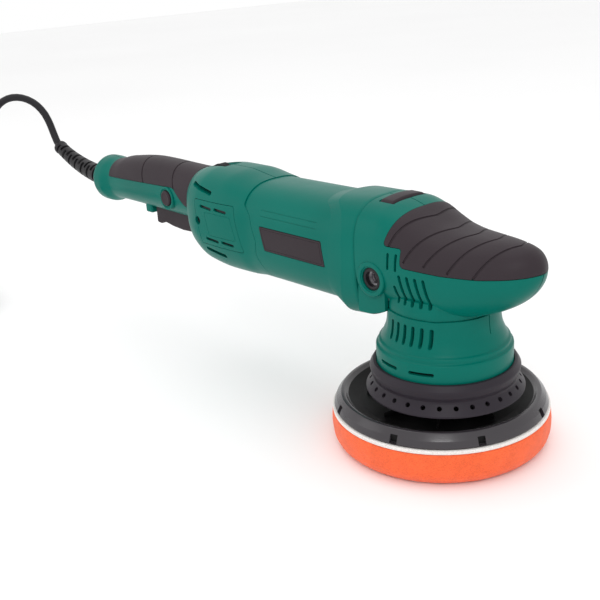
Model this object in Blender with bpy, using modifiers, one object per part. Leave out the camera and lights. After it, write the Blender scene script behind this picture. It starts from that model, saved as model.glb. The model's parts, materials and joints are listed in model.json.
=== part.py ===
"""Dual action polisher: a corded two-handed random orbit polisher with a 150 mm backing plate.

Run with: blender --background --python part.py
Frame: the drive axis is Z, the pad's working face is z = 0, the nose points along +X and the
rear handle along -X. Dimensions below are millimetres; MM turns them into metres.
"""

import math

import bmesh
import bpy
from mathutils import Matrix, Vector

MM = 0.001
GAP = 0.3  # running gap between two neighbouring pieces

# Overall layout
AXIS_Z = 132.0  # height of the motor axis above the pad face
THROW = 10.6  # eccentric radius, half of the 21 mm orbit
THROW_ANGLE = math.radians(151.0)
PAD_X = THROW * math.cos(THROW_ANGLE)
PAD_Y = THROW * math.sin(THROW_ANGLE)

# Pad, backing plate and shroud
PAD_R = 77.5
PAD_TOP = 25.0
LOOP_TOP = 27.9
PLATE_R = 75.5
PLATE_BOTTOM = LOOP_TOP + GAP
NOTCHES = 8
SHROUD_HOLES = 30

# Housings
NECK_TOP = 105.2
HEAD_BOTTOM = NECK_TOP + GAP
HEAD_REAR = -46.9
MOTOR_FRONT = HEAD_REAR - GAP
MOTOR_REAR = -160.0
TAIL_FRONT = MOTOR_REAR - GAP
HANDLE_END = -431.0
RUBBER = 2.4  # thickness of the overmoulded grips
WALL = 2.6

# Electric motor, along X
SHAFT_R = 5.0
BORE_R = SHAFT_R + GAP
CORE_FRONT = -95.0
CORE_REAR = -150.0
CORE_R = 21.2
STATOR_R = 33.6
COMMUTATOR = (-200.0, -178.0)
COMMUTATOR_R = 13.0

# Gears
PINION_TEETH = 10
CROWN_TEETH = 30
CROWN_R = 24.0
PINION_BORE_R = 3.0  # the motor shaft steps down to this under the pinion

# Cord
CORD_D = 7.5
COIL_CENTRE = (-590.0, -146.0)
COIL_MEAN_R = 42.5
COIL_BUNDLE = 24.0
COIL_FLOOR = 2.2

CYLINDER_STEPS = 40


# ---------------------------------------------------------------- scene and materials

def clear_scene():
    for obj in list(bpy.data.objects):
        bpy.data.objects.remove(obj, do_unlink=True)


def new_collection(name):
    made = bpy.data.collections.new(name)
    bpy.context.scene.collection.children.link(made)
    return made


def new_material(name, color, roughness, metallic=0.0):
    made = bpy.data.materials.new(name)
    made.use_nodes = True
    shader = made.node_tree.nodes["Principled BSDF"]
    shader.inputs["Base Color"].default_value = (*color, 1.0)
    shader.inputs["Roughness"].default_value = roughness
    shader.inputs["Metallic"].default_value = metallic
    made.diffuse_color = (*color, 1.0)
    return made


clear_scene()
PARTS = new_collection("dual_action_polisher")
CUTTERS = new_collection("cutters")

GREEN = new_material("green_plastic", (0.0, 0.19, 0.145), 0.42)
RUBBER_GREY = new_material("grip_rubber", (0.065, 0.055, 0.06), 0.62)
SHROUD_GREY = new_material("shroud_rubber", (0.085, 0.08, 0.095), 0.5)
PLATE_BLACK = new_material("plate_plastic", (0.06, 0.055, 0.06), 0.3)
BLACK = new_material("black_plastic", (0.02, 0.02, 0.022), 0.45)
FOAM = new_material("orange_foam", (0.9, 0.16, 0.03), 0.95)
LOOP = new_material("loop_fabric", (0.85, 0.83, 0.8), 0.9)
STEEL = new_material("steel", (0.5, 0.5, 0.52), 0.3, 1.0)
CAST_IRON = new_material("cast_iron", (0.3, 0.3, 0.31), 0.6, 1.0)
ALUMINIUM = new_material("cast_aluminium", (0.55, 0.55, 0.56), 0.45, 1.0)
COPPER = new_material("copper", (0.7, 0.3, 0.15), 0.35, 1.0)
BRASS = new_material("brass", (0.7, 0.5, 0.2), 0.3, 1.0)
CARBON = new_material("carbon", (0.03, 0.03, 0.03), 0.6)
CORD_RUBBER = new_material("cord_rubber", (0.02, 0.02, 0.022), 0.55)


# ---------------------------------------------------------------- building blocks

def add_object(name, mesh, material=None, at=(0, 0, 0), turn=(0, 0, 0)):
    """Links an object: with a material it is a part, without one it is a cutter."""
    obj = bpy.data.objects.new(name, mesh)
    obj.location = Vector(at) * MM
    obj.rotation_euler = turn
    if material is None:
        CUTTERS.objects.link(obj)
        obj.hide_render = True
        obj.display_type = "WIRE"
    else:
        PARTS.objects.link(obj)
        mesh.materials.append(material)
    return obj


def mesh_from(bm, name, smooth=True):
    bmesh.ops.recalc_face_normals(bm, faces=bm.faces)
    mesh = bpy.data.meshes.new(name)
    bm.to_mesh(mesh)
    bm.free()
    if smooth:
        mesh.shade_smooth()
        mesh.set_sharp_from_angle(angle=math.radians(35))
    return mesh


AXIS_TURN = {"X": (0, math.pi / 2, 0), "Y": (-math.pi / 2, 0, 0), "Z": (0, 0, 0)}


def turned(name, profile, material=None, at=(0, 0, 0), axis="Z", steps=CYLINDER_STEPS, ring=False):
    """A Screw solid from (radius, height) points that run down the outer side."""
    mesh = bpy.data.meshes.new(name)
    points = [(r * MM, 0, h * MM) for r, h in profile]
    edges = [(i, i + 1) for i in range(len(points) - 1)]
    if ring:
        edges.append((len(points) - 1, 0))
    mesh.from_pydata(points, edges, [])
    obj = add_object(name, mesh, material, at, AXIS_TURN[axis])
    screw = obj.modifiers.new("screw", "SCREW")
    screw.steps = steps
    screw.render_steps = steps
    screw.use_merge_vertices = True
    screw.merge_threshold = 0.00005
    screw.use_smooth_shade = True
    return obj


def tube(name, inner, outer, low, high, material=None, at=(0, 0, 0), axis="Z", steps=CYLINDER_STEPS):
    profile = [(inner, high), (outer, high), (outer, low), (inner, low)]
    return turned(name, profile, material, at, axis, steps, ring=True)


def rod(name, radius, low, high, material=None, at=(0, 0, 0), axis="Z", steps=24):
    profile = [(0, high), (radius, high), (radius, low), (0, low)]
    return turned(name, profile, material, at, axis, steps)


def block(name, low, high, material=None, bevel=0.0, tilt=None):
    """A box between two corners; tilt is (axis, degrees) about its own centre."""
    bm = bmesh.new()
    bmesh.ops.create_cube(bm, size=1.0)
    size = Vector(high) - Vector(low)
    bmesh.ops.scale(bm, vec=size * MM, verts=bm.verts)
    if bevel:
        bmesh.ops.bevel(bm, geom=list(bm.edges), offset=bevel * MM, segments=1, affect="EDGES")
    turn = [0, 0, 0]
    if tilt:
        turn["XYZ".index(tilt[0])] = math.radians(tilt[1])
    centre = (Vector(high) + Vector(low)) / 2
    return add_object(name, mesh_from(bm, name), material, centre, turn)


def prism(name, outline, low, high, material=None):
    """An (x, z) outline carried along Y from low to high."""
    bm = bmesh.new()
    near = [bm.verts.new((x * MM, low * MM, z * MM)) for x, z in outline]
    far = [bm.verts.new((x * MM, high * MM, z * MM)) for x, z in outline]
    bm.faces.new(near)
    bm.faces.new(reversed(far))
    for i in range(len(outline)):
        j = (i + 1) % len(outline)
        bm.faces.new((near[i], far[i], far[j], near[j]))
    return add_object(name, mesh_from(bm, name), material)


def boolean(obj, operation, other):
    modifier = obj.modifiers.new(operation.lower(), "BOOLEAN")
    modifier.operation = operation
    modifier.object = other
    modifier.solver = "EXACT"
    return obj


def cut(obj, *cutters):
    for cutter in cutters:
        boolean(obj, "DIFFERENCE", cutter)
    return obj


def join(obj, *others):
    for other in others:
        boolean(obj, "UNION", other)
    return obj


def section(x, half_width, top, bottom, power, count=18):
    """A rounded cross-section at station x: a superellipse between bottom and top."""
    middle = (top + bottom) / 2
    half_height = (top - bottom) / 2
    points = []
    for i in range(count):
        angle = 2 * math.pi * (i + 0.5) / count
        c, s = math.cos(angle), math.sin(angle)
        y = math.copysign(abs(c) ** (2 / power), c) * half_width
        z = math.copysign(abs(s) ** (2 / power), s) * half_height + middle
        points.append(Vector((x, y, z)) * MM)
    return points


def loft(name, stations, material=None, inset=0.0, ends=(0.0, 0.0)):
    """A solid through sections (x, half width, top, bottom, power), shrunk all round by inset.

    ends moves the first and last section along X.
    """
    bm = bmesh.new()
    rings = []
    for i, (x, half_width, top, bottom, power) in enumerate(stations):
        if i == 0:
            x += ends[0]
        if i == len(stations) - 1:
            x += ends[1]
        half = max(half_width - inset, 1.0)
        high = max(top - inset, (top + bottom) / 2 + 1.0)
        low = min(bottom + inset, (top + bottom) / 2 - 1.0)
        rings.append([bm.verts.new(p) for p in section(x, half, high, low, power)])
    for first, second in zip(rings, rings[1:]):
        for i in range(len(first)):
            j = (i + 1) % len(first)
            bm.faces.new((first[i], first[j], second[j], second[i]))
    bm.faces.new(rings[0])
    bm.faces.new(reversed(rings[-1]))
    bmesh.ops.triangulate(bm, faces=bm.faces)
    return add_object(name, mesh_from(bm, name), material)


def wire(name, points, radius, material, radii=None, sides=2):
    """A POLY curve tube with filled caps through the given points."""
    curve = bpy.data.curves.new(name, "CURVE")
    curve.dimensions = "3D"
    curve.bevel_depth = radius * MM
    curve.bevel_resolution = sides
    curve.use_fill_caps = True
    spline = curve.splines.new("POLY")
    spline.points.add(len(points) - 1)
    for i, point in enumerate(points):
        spline.points[i].co = (*(Vector(point) * MM), 1.0)
        spline.points[i].radius = radii[i] if radii else 1.0
    obj = bpy.data.objects.new(name, curve)
    curve.materials.append(material)
    PARTS.objects.link(obj)
    return obj


def smooth_path(points, spacing):
    """Points at even spacing along a centripetal Catmull-Rom curve through the route."""
    route = [Vector(p) for p in points]
    ends = [route[0] * 2 - route[1]] + route + [route[-1] * 2 - route[-2]]
    fine = []
    for a, b, c, d in zip(ends, ends[1:], ends[2:], ends[3:]):
        for k in range(24):
            t = k / 24
            fine.append(0.5 * (2 * b + (c - a) * t + (2 * a - 5 * b + 4 * c - d) * t * t
                               + (3 * b - a - 3 * c + d) * t ** 3))
    fine.append(route[-1])
    total = sum((q - p).length for p, q in zip(fine, fine[1:]))
    step = total / round(total / spacing)
    made, travelled = [fine[0]], 0.0
    for p, q in zip(fine, fine[1:]):
        length = (q - p).length
        while travelled + length >= step and length > 0:
            p = p + (q - p) * ((step - travelled) / length)
            made.append(p)
            length = (q - p).length
            travelled = 0.0
        travelled += length
    if (made[-1] - fine[-1]).length > spacing / 2:
        made.append(fine[-1])
    else:
        made[-1] = fine[-1]
    return made


def around(centre, angle_deg, radius):
    angle = math.radians(angle_deg)
    return centre[0] + radius * math.cos(angle), centre[1] + radius * math.sin(angle)


# ---------------------------------------------------------------- pad and backing plate

PAD_AT = (PAD_X, PAD_Y, 0)


def build_pad():
    edge = 12.0
    profile = [(0, PAD_TOP), (PAD_R - 0.6, PAD_TOP), (PAD_R, PAD_TOP - 1.5), (PAD_R, edge)]
    for i in range(1, 4):
        angle = math.pi / 2 * i / 3
        profile.append((PAD_R - edge * (1 - math.cos(angle)), edge * (1 - math.sin(angle))))
    profile.append((0, 0))
    turned("polishing_pad", profile, FOAM, PAD_AT, steps=36)
    rod("pad_loop_layer", PAD_R - 0.6, PAD_TOP + GAP, LOOP_TOP, LOOP, PAD_AT, steps=36)


def build_backing_plate():
    floor = PLATE_BOTTOM + 3.2
    profile = [
        (6.6, 46.0), (16.0, 46.0), (18.0, floor), (56.0, floor), (65.5, 35.6), (67.8, 37.8), (70.2, 37.6),
        (73.8, 33.4), (PLATE_R, PLATE_BOTTOM + 0.8), (PLATE_R, PLATE_BOTTOM), (8.4, PLATE_BOTTOM),
        (8.4, 33.0), (6.6, 33.0),
    ]
    plate = turned("backing_plate", profile, PLATE_BLACK, PAD_AT, steps=36, ring=True)
    bm = bmesh.new()
    for i in range(NOTCHES):
        turn = math.radians(-28.6 + 360 / NOTCHES * i)
        place = Matrix.Rotation(turn, 4, "Z") @ Matrix.Translation(Vector((75.5, 0, 30.8)) * MM)
        size = Matrix.Diagonal((4.4 * MM, 4.4 * MM, 4.2 * MM, 1))
        bmesh.ops.create_cube(bm, size=1.0, matrix=place @ size)
    notches = add_object("plate_notches", mesh_from(bm, "plate_notches"), None, PAD_AT)
    cut(plate, notches)


def build_pad_spindle():
    spindle = [(0, 70.0), (6.0, 70.0), (6.0, 34.0), (3.4, 34.0), (3.4, 46.0), (0, 46.0)]
    turned("pad_spindle", spindle, STEEL, PAD_AT, steps=18)
    screw = [(0, 45.0), (3.0, 45.0), (3.0, 32.6), (7.6, 32.6), (7.6, 29.0), (2.6, 29.0), (2.6, 31.0), (0, 31.0)]
    turned("plate_screw", screw, STEEL, PAD_AT, steps=16)
    tube("pad_bearing_lower", 6.0 + GAP, 13.0, 49.0, 57.0, STEEL, PAD_AT, steps=18)
    tube("pad_bearing_upper", 6.0 + GAP, 13.0, 59.0, 67.0, STEEL, PAD_AT, steps=18)


# ---------------------------------------------------------------- output drive

def build_output_drive():
    hub = [(13.0 + GAP, 69.0), (19.0, 69.0), (19.0, 48.0), (13.0 + GAP, 48.0)]
    eccentric = turned("eccentric_hub", hub, STEEL, PAD_AT, steps=24, ring=True)
    cap = rod("eccentric_cap", 19.0, 68.0, 77.0, None, PAD_AT, steps=24)
    relief = rod("eccentric_relief", 13.0 + GAP, 60.0, 72.5, None, PAD_AT, steps=24)
    bore = rod("eccentric_bore", 7.5 + GAP, 60.0, 90.0, None, (0, 0, 0))
    join(eccentric, cap)
    cut(eccentric, relief, bore)

    outline = [(0, 66.0), (33.0, 66.0), (33.0, 50.0), (0, 50.0)]
    weight = turned("counterweight", outline, CAST_IRON, steps=36)
    clear = rod("weight_clearance", 19.0 + GAP, 40.0, 80.0, None, PAD_AT, steps=24)
    half = block("weight_half", (-60, 2.0, 40), (60, 90, 80))
    half.location = Vector((0, 0, 60)) * MM
    half.rotation_euler = (0, 0, THROW_ANGLE - math.pi / 2)
    half_mesh = half.data
    half_mesh.transform(Matrix.Translation(Vector((0, 42, 0)) * MM))
    cut(weight, clear, half)

    shaft = [(0, 127.0), (6.0, 127.0), (7.5, 125.5), (7.5, 73.0), (0, 73.0)]
    turned("output_shaft", shaft, STEEL, steps=20)
    tube("output_bearing_lower", 7.5 + GAP, 15.0, 82.0, 89.0, STEEL, steps=20)
    tube("output_bearing_upper", 7.5 + GAP, 15.0, 94.0, 102.0, STEEL, steps=20)


def gear_ring(name, teeth, profile, material, tooth_low, tooth_high, depth, at, axis, steps):
    """A turned blank with a V notch cut between each pair of teeth."""
    blank = turned(name, profile, material, at, axis, steps, ring=True)
    bm = bmesh.new()
    for i in range(teeth):
        turn = Matrix.Rotation(2 * math.pi * i / teeth, 4, "Z")
        (r0, h0), (r1, h1) = tooth_low, tooth_high
        centre = Vector(((r0 + r1) / 2, 0, (h0 + h1) / 2)) * MM
        along = Vector((r1 - r0, 0, h1 - h0))
        place = Matrix.Translation(centre) @ Matrix.Rotation(-math.atan2(along.z, along.x), 4, "Y")
        spin = Matrix.Rotation(math.pi / 4, 4, "X")
        size = Matrix.Diagonal((along.length * MM, depth * MM, depth * MM, 1))
        bmesh.ops.create_cube(bm, size=1.0, matrix=turn @ place @ spin @ size)
    notches = add_object(name + "_notches", mesh_from(bm, name), None, at, AXIS_TURN[axis])
    cut(blank, notches)
    return blank


def build_gears():
    crown = [
        (7.5 + GAP, 126.4), (14.5, 126.4), (CROWN_R, 124.3), (CROWN_R, 119.0), (13.0, 113.0),
        (13.0, 106.0), (7.5 + GAP, 106.0),
    ]
    crown_at = (0, 0, 0)
    gear_ring("crown_gear", CROWN_TEETH, crown, BRASS, (15.6, 126.2), (25.0, 124.1), 1.6, crown_at, "Z", 30)
    bore = PINION_BORE_R + GAP
    pinion = [(bore, 4.5), (4.9, 4.5), (6.9, -4.5), (bore, -4.5)]
    pinion_at = (-19.0, 0, AXIS_Z)
    gear_ring("bevel_pinion", PINION_TEETH, pinion, STEEL, (7.0, -5.0), (4.8, 5.0), 1.4, pinion_at, "X", 30)


def build_gear_case():
    outer = [(0, 149.0), (22.5, 149.0), (27.0, 144.5), (27.0, 96.0), (18.0, 91.0), (18.0, 79.0), (0, 79.0)]
    case = turned("gear_case", outer, ALUMINIUM, steps=24)
    flange = block("case_flange", (HEAD_REAR + 0.5, -23.6, 93), (-39.6, 23.6, 156), None, 3.0)
    throat = rod("case_throat", 17.0, -42.0, -20.0, None, (0, 0, AXIS_Z), "X", 20)
    join(case, throat, flange)
    cavity = rod("case_cavity", 24.7, 103.5, 145.5, None, steps=24)
    pockets = [(0, 103.8), (8.6, 103.8), (8.6, 102.4), (15.3, 102.4), (15.3, 93.6), (8.6, 93.6), (8.6, 89.4),
               (15.3, 89.4), (15.3, 81.6), (12.0, 81.6), (12.0, 70.0), (0, 70.0)]
    bearing_seats = turned("case_bearing_seats", pockets, steps=20)
    neck = block("case_neck_cut", (-60, -40, 60), (-36.5, 40, 92.9))
    shaft_way = turned(
        "case_shaft_way",
        [(0, 30.0), (9.9, 30.0), (9.9, 12.0), (7.0, 12.0), (7.0, 9.4), (13.3, 9.4), (13.3, -10.0), (0, -10.0)],
        None, (-46.4, 0, AXIS_Z), "X", 20)
    cut(case, cavity, bearing_seats, neck, shaft_way)
    tube("front_bearing", BORE_R, 13.0, -46.0, -37.4, STEEL, (0, 0, AXIS_Z), "X", 20)


# ---------------------------------------------------------------- motor

def build_motor():
    at = (0, 0, AXIS_Z)
    shaft = [
        (0, -13.0), (PINION_BORE_R, -13.0), (PINION_BORE_R, -26.0), (SHAFT_R, -26.0),
        (SHAFT_R, -221.0), (0, -221.0),
    ]
    turned("motor_shaft", shaft, STEEL, at, "X", 16)
    tube("armature_core", BORE_R, CORE_R, CORE_REAR + 1, CORE_FRONT - 1, STEEL, at, "X", 24)
    tube("armature_winding_front", BORE_R, 17.0, CORE_FRONT - 0.7, CORE_FRONT + 10, COPPER, at, "X", 18)
    tube("armature_winding_rear", BORE_R, 17.0, CORE_REAR - 12, CORE_REAR + 0.7, COPPER, at, "X", 18)
    tube("commutator", BORE_R, COMMUTATOR_R, *COMMUTATOR, COPPER, at, "X", 20)
    tube("rear_bearing", BORE_R, 11.0, -216.0, -208.0, STEEL, at, "X", 18)

    stator = tube("stator_core", CORE_R + 0.8, STATOR_R, CORE_REAR, CORE_FRONT, STEEL, at, "X", 28)
    for number, (angle, other) in enumerate(((38, 142), (218, 322))):
        route = []
        for end in (CORE_FRONT + 6.5, CORE_REAR - 6.5):
            sweep = range(angle, other + 1, 26) if end > CORE_REAR else range(other, angle - 1, -26)
            for degrees in sweep:
                y, z = around((0, AXIS_Z), degrees, 27.6)
                route.append((end, y, z))
        coil = wire("field_coil_upper" if number == 0 else "field_coil_lower", route, 2.8, COPPER)
        coil.data.splines[0].use_cyclic_u = True
        coil.data.use_fill_caps = False
    for degrees in (38, 142, 218, 322):
        y, z = around((0, AXIS_Z), degrees, 27.6)
        way = rod("coil_way_%d" % degrees, 3.5, CORE_REAR - 9, CORE_FRONT + 9, None, (0, y, z), "X", 8)
        cut(stator, way)

    fan = tube("motor_fan", BORE_R, 31.5, -70.0, -67.8, BLACK, at, "X", 24)
    hub = tube("fan_hub", BORE_R, 10.0, -80.0, -67.9, None, at, "X", 16)
    blades = bmesh.new()
    for i in range(9):
        turn = Matrix.Rotation(2 * math.pi * (i + 0.5) / 9, 4, "Z")
        place = Matrix.Translation(Vector((20.0, 0, -74.2)) * MM) @ Matrix.Rotation(0.5, 4, "Z")
        size = Matrix.Diagonal((20.0 * MM, 1.4 * MM, 9.6 * MM, 1))
        bmesh.ops.create_cube(blades, size=1.0, matrix=turn @ place @ size)
    blade_set = add_object("fan_blades", mesh_from(blades, "fan_blades"), None, Vector(at), AXIS_TURN["X"])
    join(fan, hub, blade_set)

    bracket = tube("rear_bearing_bracket", 11.0 + GAP, 31.0, -216.0, -208.0, BLACK, at, "X", 24)
    windows = [block("bracket_window_%d" % i, (-230, a, b), (-200, a + 18, b + 12))
               for i, (a, b) in enumerate(((-9, AXIS_Z + 15), (-9, AXIS_Z - 27)))]
    cut(bracket, *windows)


def build_brush_gear():
    for side, sign in (("right", -1), ("left", 1)):
        near, far = sorted((sign * 15.5, sign * 32.0))
        holder = block("brush_holder_" + side, (-197, near, AXIS_Z - 6), (-183, far, AXIS_Z + 6), BRASS, 0.6)
        bore = block("holder_bore_" + side, (-194.3, near - 5, AXIS_Z - 3.3), (-185.7, far + 5, AXIS_Z + 3.3))
        cut(holder, bore)
        tip, tail = sorted((sign * (COMMUTATOR_R + 0.3), sign * 28.0))
        block("carbon_brush_" + side, (-194, tip, AXIS_Z - 3), (-186, tail, AXIS_Z + 3), CARBON)


# ---------------------------------------------------------------- shroud and neck

def build_shroud():
    profile = [
        (47.3, 65.8), (49.4, 65.8), (52.0, 61.6), (51.2, 57.2), (49.3, 53.4), (55.7, 45.4), (55.4, 43.8),
        (53.2, 44.4), (46.6, 52.4), (44.6, 57.0), (44.6, 61.6), (47.3, 61.6),
    ]
    shroud = turned("shroud", profile, SHROUD_GREY, steps=30, ring=True)
    bm = bmesh.new()
    for i in range(SHROUD_HOLES):
        turn = Matrix.Rotation(2 * math.pi * (i + 0.5) / SHROUD_HOLES, 4, "Z")
        place = Matrix.Translation(Vector((50.2, 0, 50.2)) * MM) @ Matrix.Rotation(math.radians(52), 4, "Y")
        bmesh.ops.create_cone(bm, cap_ends=True, segments=4, radius1=1.2 * MM, radius2=1.2 * MM,
                              depth=9 * MM, matrix=turn @ place)
    cut(shroud, add_object("shroud_holes", mesh_from(bm, "shroud_holes")))


def build_neck():
    outer = [
        (38.0, NECK_TOP), (38.6, 96.0), (40.2, 89.0), (44.2, 83.4), (44.8, 80.4), (46.7, 78.4), (46.9, 62.0),
    ]
    inner = [(44.2, 62.0), (44.2, 76.0), (37.4, 88.0), (35.0, NECK_TOP)]
    neck = turned("neck_housing", outer + inner, GREEN, steps=32, ring=True)
    column = block("neck_column", (-22.8, -33.6, 85.6), (22.8, 33.6, NECK_TOP), None)
    hollow = rod("neck_hollow", 34.9, 60.0, 120.0, None, steps=32)
    wide = [(0, 79.6), (41.4, 79.6), (44.0, 75.0), (44.0, 50.0), (0, 50.0)]
    join(neck, column)
    slots = []
    for i in range(6):
        x = -16.3 + 6.55 * i
        slots.append(block("neck_slot_%d" % i, (x - 1.1, -60, 87.5), (x + 1.1, 60, 99.5)))
    cut(neck, hollow, turned("neck_hollow_wide", wide, steps=32), *slots)
    bm = bmesh.new()
    for middle in (-102.4, -69.1, 77.6, 110.9):
        turn = Matrix.Rotation(math.radians(middle), 4, "Z")
        place = turn @ Matrix.Translation(Vector((46, 0, 71.8)) * MM)
        size = Matrix.Diagonal((16 * MM, 17.5 * MM, 2.6 * MM, 1))
        bmesh.ops.create_cube(bm, size=1.0, matrix=place @ size)
    cut(neck, add_object("skirt_slots", mesh_from(bm, "skirt_slots")))


# ---------------------------------------------------------------- head

HEAD_STATIONS = [
    (HEAD_REAR, 36.8, 174.4, 102.0, 3.0),
    (-30.0, 37.0, 174.2, 102.0, 3.0),
    (-16.0, 36.8, 171.0, 102.0, 2.8),
    (-5.0, 36.2, 165.8, 102.0, 2.7),
    (8.0, 34.8, 161.0, 102.0, 2.6),
    (22.0, 32.8, 158.8, 102.4, 2.5),
    (38.0, 29.4, 158.0, 106.4, 2.4),
    (50.0, 26.0, 157.6, 111.0, 2.3),
    (60.0, 22.0, 156.8, 116.4, 2.2),
    (68.0, 17.2, 155.2, 122.6, 2.2),
    (74.0, 11.4, 151.8, 129.6, 2.1),
    (77.5, 4.6, 146.6, 136.4, 2.0),
]
BOSS_X = -31.8
BOSS_Z = 125.0


def grip_region(name, gap):
    outline = [(-20.0 - gap, 149.8 - gap), (-5.0 - gap, 149.8 - gap), (-5.0 - gap, 138.6 - gap),
               (90.0, 138.6 - gap), (90.0, 190.0), (-20.0 - gap, 190.0)]
    return prism(name, outline, -60, 60)


def build_nose_grip():
    grip = loft("nose_grip", HEAD_STATIONS, RUBBER_GREY)
    boolean(grip, "INTERSECT", grip_region("grip_region", 0.0))
    cut(grip, loft("grip_inside", HEAD_STATIONS, None, RUBBER, (-2.0, -RUBBER)))


def head_slots(side, sign):
    """Two upright vents over five slanted ones, the first of which is short."""
    near, far = sorted((sign * 20.0, sign * 60.0))
    made = []
    for i, x in enumerate((-17.3, -10.9)):
        made.append(block("head_slot_%s_%d" % (side, i), (x, near, 135.2), (x + 2.2, far, 146.6)))
    for i in range(5):
        x = -12.0 + 6.9 * i
        high = 130.6 if i else 122.0
        made.append(block("head_slant_%s_%d" % (side, i), (x, near, 112.6), (x + 2.2, far, high), tilt=("Y", -18)))
    return made


def build_head():
    recess = grip_region("grip_recess", GAP)
    cut(recess, loft("recess_floor", HEAD_STATIONS, None, RUBBER + GAP, (-2.0, -RUBBER - GAP)))
    cavity = loft("head_cavity", HEAD_STATIONS, None, RUBBER + WALL, (-2.0, -RUBBER - WALL))
    floor = block("head_floor_cut", (-70, -60, 60), (39.5, 60, HEAD_BOTTOM))
    opening = rod("head_opening", 29.6, 90.0, 129.0, None, steps=24)
    rear_opening = block("head_rear_opening", (-70, -29.6, 90), (-10.7, 29.6, 129.7))
    bar_seat = block("bar_seat", (-41.3, -16.8, 171.6), (-27.7, 16.8, 190.0))
    apron = tube("apron", 32.6, 36.4, HEAD_BOTTOM, 116.0, None, steps=32)
    neck_clearance = rod("neck_clearance", 38.4, 80.0, HEAD_BOTTOM, None, steps=32)
    for side, sign in (("right", -1), ("left", 1)):
        slots = head_slots(side, sign)
        shell = loft("head_shell_" + side, HEAD_STATIONS, GREEN)
        boss = rod("boss_" + side, 10.4, -37.8, -24.0, None, (BOSS_X, 0, BOSS_Z), "Y", 20)
        socket = turned("socket_" + side, [(0, 0.0), (6.2 + GAP, 0.0), (6.2 + GAP, -35.0), (8.2, -35.2), (8.2, -60.0),
                                           (0, -60.0)], None, (BOSS_X, 0, BOSS_Z), "Y", 20)
        if sign > 0:
            boss.rotation_euler = (math.pi / 2, 0, 0)
            socket.rotation_euler = (math.pi / 2, 0, 0)
        half = block("split_" + side, (-90, -0.15 if sign < 0 else -90, 60), (120, 90 if sign < 0 else 0.15, 220))
        cut(shell, recess, bar_seat)
        cut(shell, cavity, floor, opening)
        near, far = (-34.2, -30.8) if sign < 0 else (30.8, 34.2)
        cheek = block("cheek_" + side, (HEAD_REAR, near, 98.4), (-24.0, far, 116.0))
        cut(cheek, neck_clearance)
        join(shell, apron, cheek)
        cut(shell, rear_opening, half)
        join(shell, boss)
        cut(shell, socket, *slots)
        insert = [(3.6, -18.0), (6.2, -18.0), (6.2, -36.4), (3.6, -36.4)]
        bush = turned("handle_insert_" + side, insert, STEEL, (BOSS_X, 0, BOSS_Z), "Y", 16, ring=True)
        if sign > 0:
            bush.rotation_euler = (math.pi / 2, 0, 0)
    block("top_bumper", (-41.0, -16.5, 172.0), (-28.0, 16.5, 176.2), RUBBER_GREY, 1.4)


# ---------------------------------------------------------------- motor housing

MOTOR_STATIONS = [
    (MOTOR_FRONT, 36.8, 174.4, 88.6, 3.0),
    (-58.0, 37.8, 174.0, 88.0, 3.0),
    (-66.0, 38.4, 172.2, 88.8, 3.0),
    (-71.0, 37.4, 170.0, 94.0, 2.7),
    (MOTOR_REAR, 37.4, 170.0, 94.0, 2.7),
]
BADGE_OUTLINE = [(-148.0, 142.6), (-80.2, 142.6), (-76.8, 124.8), (-143.0, 124.8)]


def widen(outline, gap):
    """The outline moved away from its centre by gap along both axes."""
    cx = sum(x for x, _ in outline) / len(outline)
    cz = sum(z for _, z in outline) / len(outline)
    return [(x + math.copysign(gap, x - cx), z + math.copysign(gap, z - cz)) for x, z in outline]


def build_motor_housing():
    housing = loft("motor_housing", MOTOR_STATIONS, GREEN)
    cut(housing, loft("motor_bore", MOTOR_STATIONS, None, WALL + 0.4, (2.0, -2.0)))
    pocket = prism("badge_pocket", widen(BADGE_OUTLINE, GAP), -60, 0)
    cut(pocket, loft("badge_floor", MOTOR_STATIONS, None, 1.3, (2.0, -2.0)))
    cut(housing, pocket)
    plate = loft("name_plate", MOTOR_STATIONS, BLACK)
    boolean(plate, "INTERSECT", prism("plate_outline", BADGE_OUTLINE, -60, 0))
    cut(plate, loft("plate_back", MOTOR_STATIONS, None, 1.0, (2.0, -2.0)))


# ---------------------------------------------------------------- tail and rear handle

REAR_STATIONS = [
    (TAIL_FRONT, 37.4, 170.0, 94.0, 2.7),
    (-175.0, 39.4, 171.6, 92.8, 2.7),
    (-200.0, 40.6, 175.0, 92.4, 2.7),
    (-224.0, 40.0, 175.2, 94.6, 2.7),
    (-240.0, 37.0, 173.4, 100.0, 2.6),
    (-250.0, 31.6, 171.0, 107.6, 2.5),
    (-256.5, 25.0, 169.4, 115.6, 2.4),
    (-259.5, 20.4, 168.6, 121.6, 2.3),
    (-330.0, 19.7, 170.2, 122.8, 2.3),
    (-378.0, 18.6, 166.0, 123.4, 2.3),
    (-399.0, 17.8, 161.8, 123.0, 2.2),
    (-413.0, 21.8, 162.8, 118.4, 2.0),
    (-421.0, 21.8, 162.8, 118.4, 2.0),
    (-427.0, 18.6, 159.4, 121.8, 2.0),
    (HANDLE_END, 13.0, 153.4, 128.0, 2.0),
]
BOOT_START = Vector((HANDLE_END + 8.0, 0.0, 139.2))
LOCK_X = -297.0
LOCK_Z = 140.5
TRIGGER_PIVOT = (-266.0, 125.0)
DIAL_X = -237.0
DIAL_Z = 162.5
COVER_OUTLINE = [(-228.0, 153.6), (-178.4, 153.6), (-168.6, 118.0), (-221.4, 118.0)]
COVER_SCREW = (-224.0, 136.4)


def rear_grip_region(name, gap):
    outline = [(-399.0 - gap, 147.6 - gap), (-286.0 - gap, 151.4 - gap), (-271.0 - gap, 137.0 - gap),
               (-261.0 + gap, 137.0 - gap), (-261.0 + gap, 190.0), (-399.0 - gap, 190.0)]
    return prism(name, outline, -60, 60)


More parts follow.
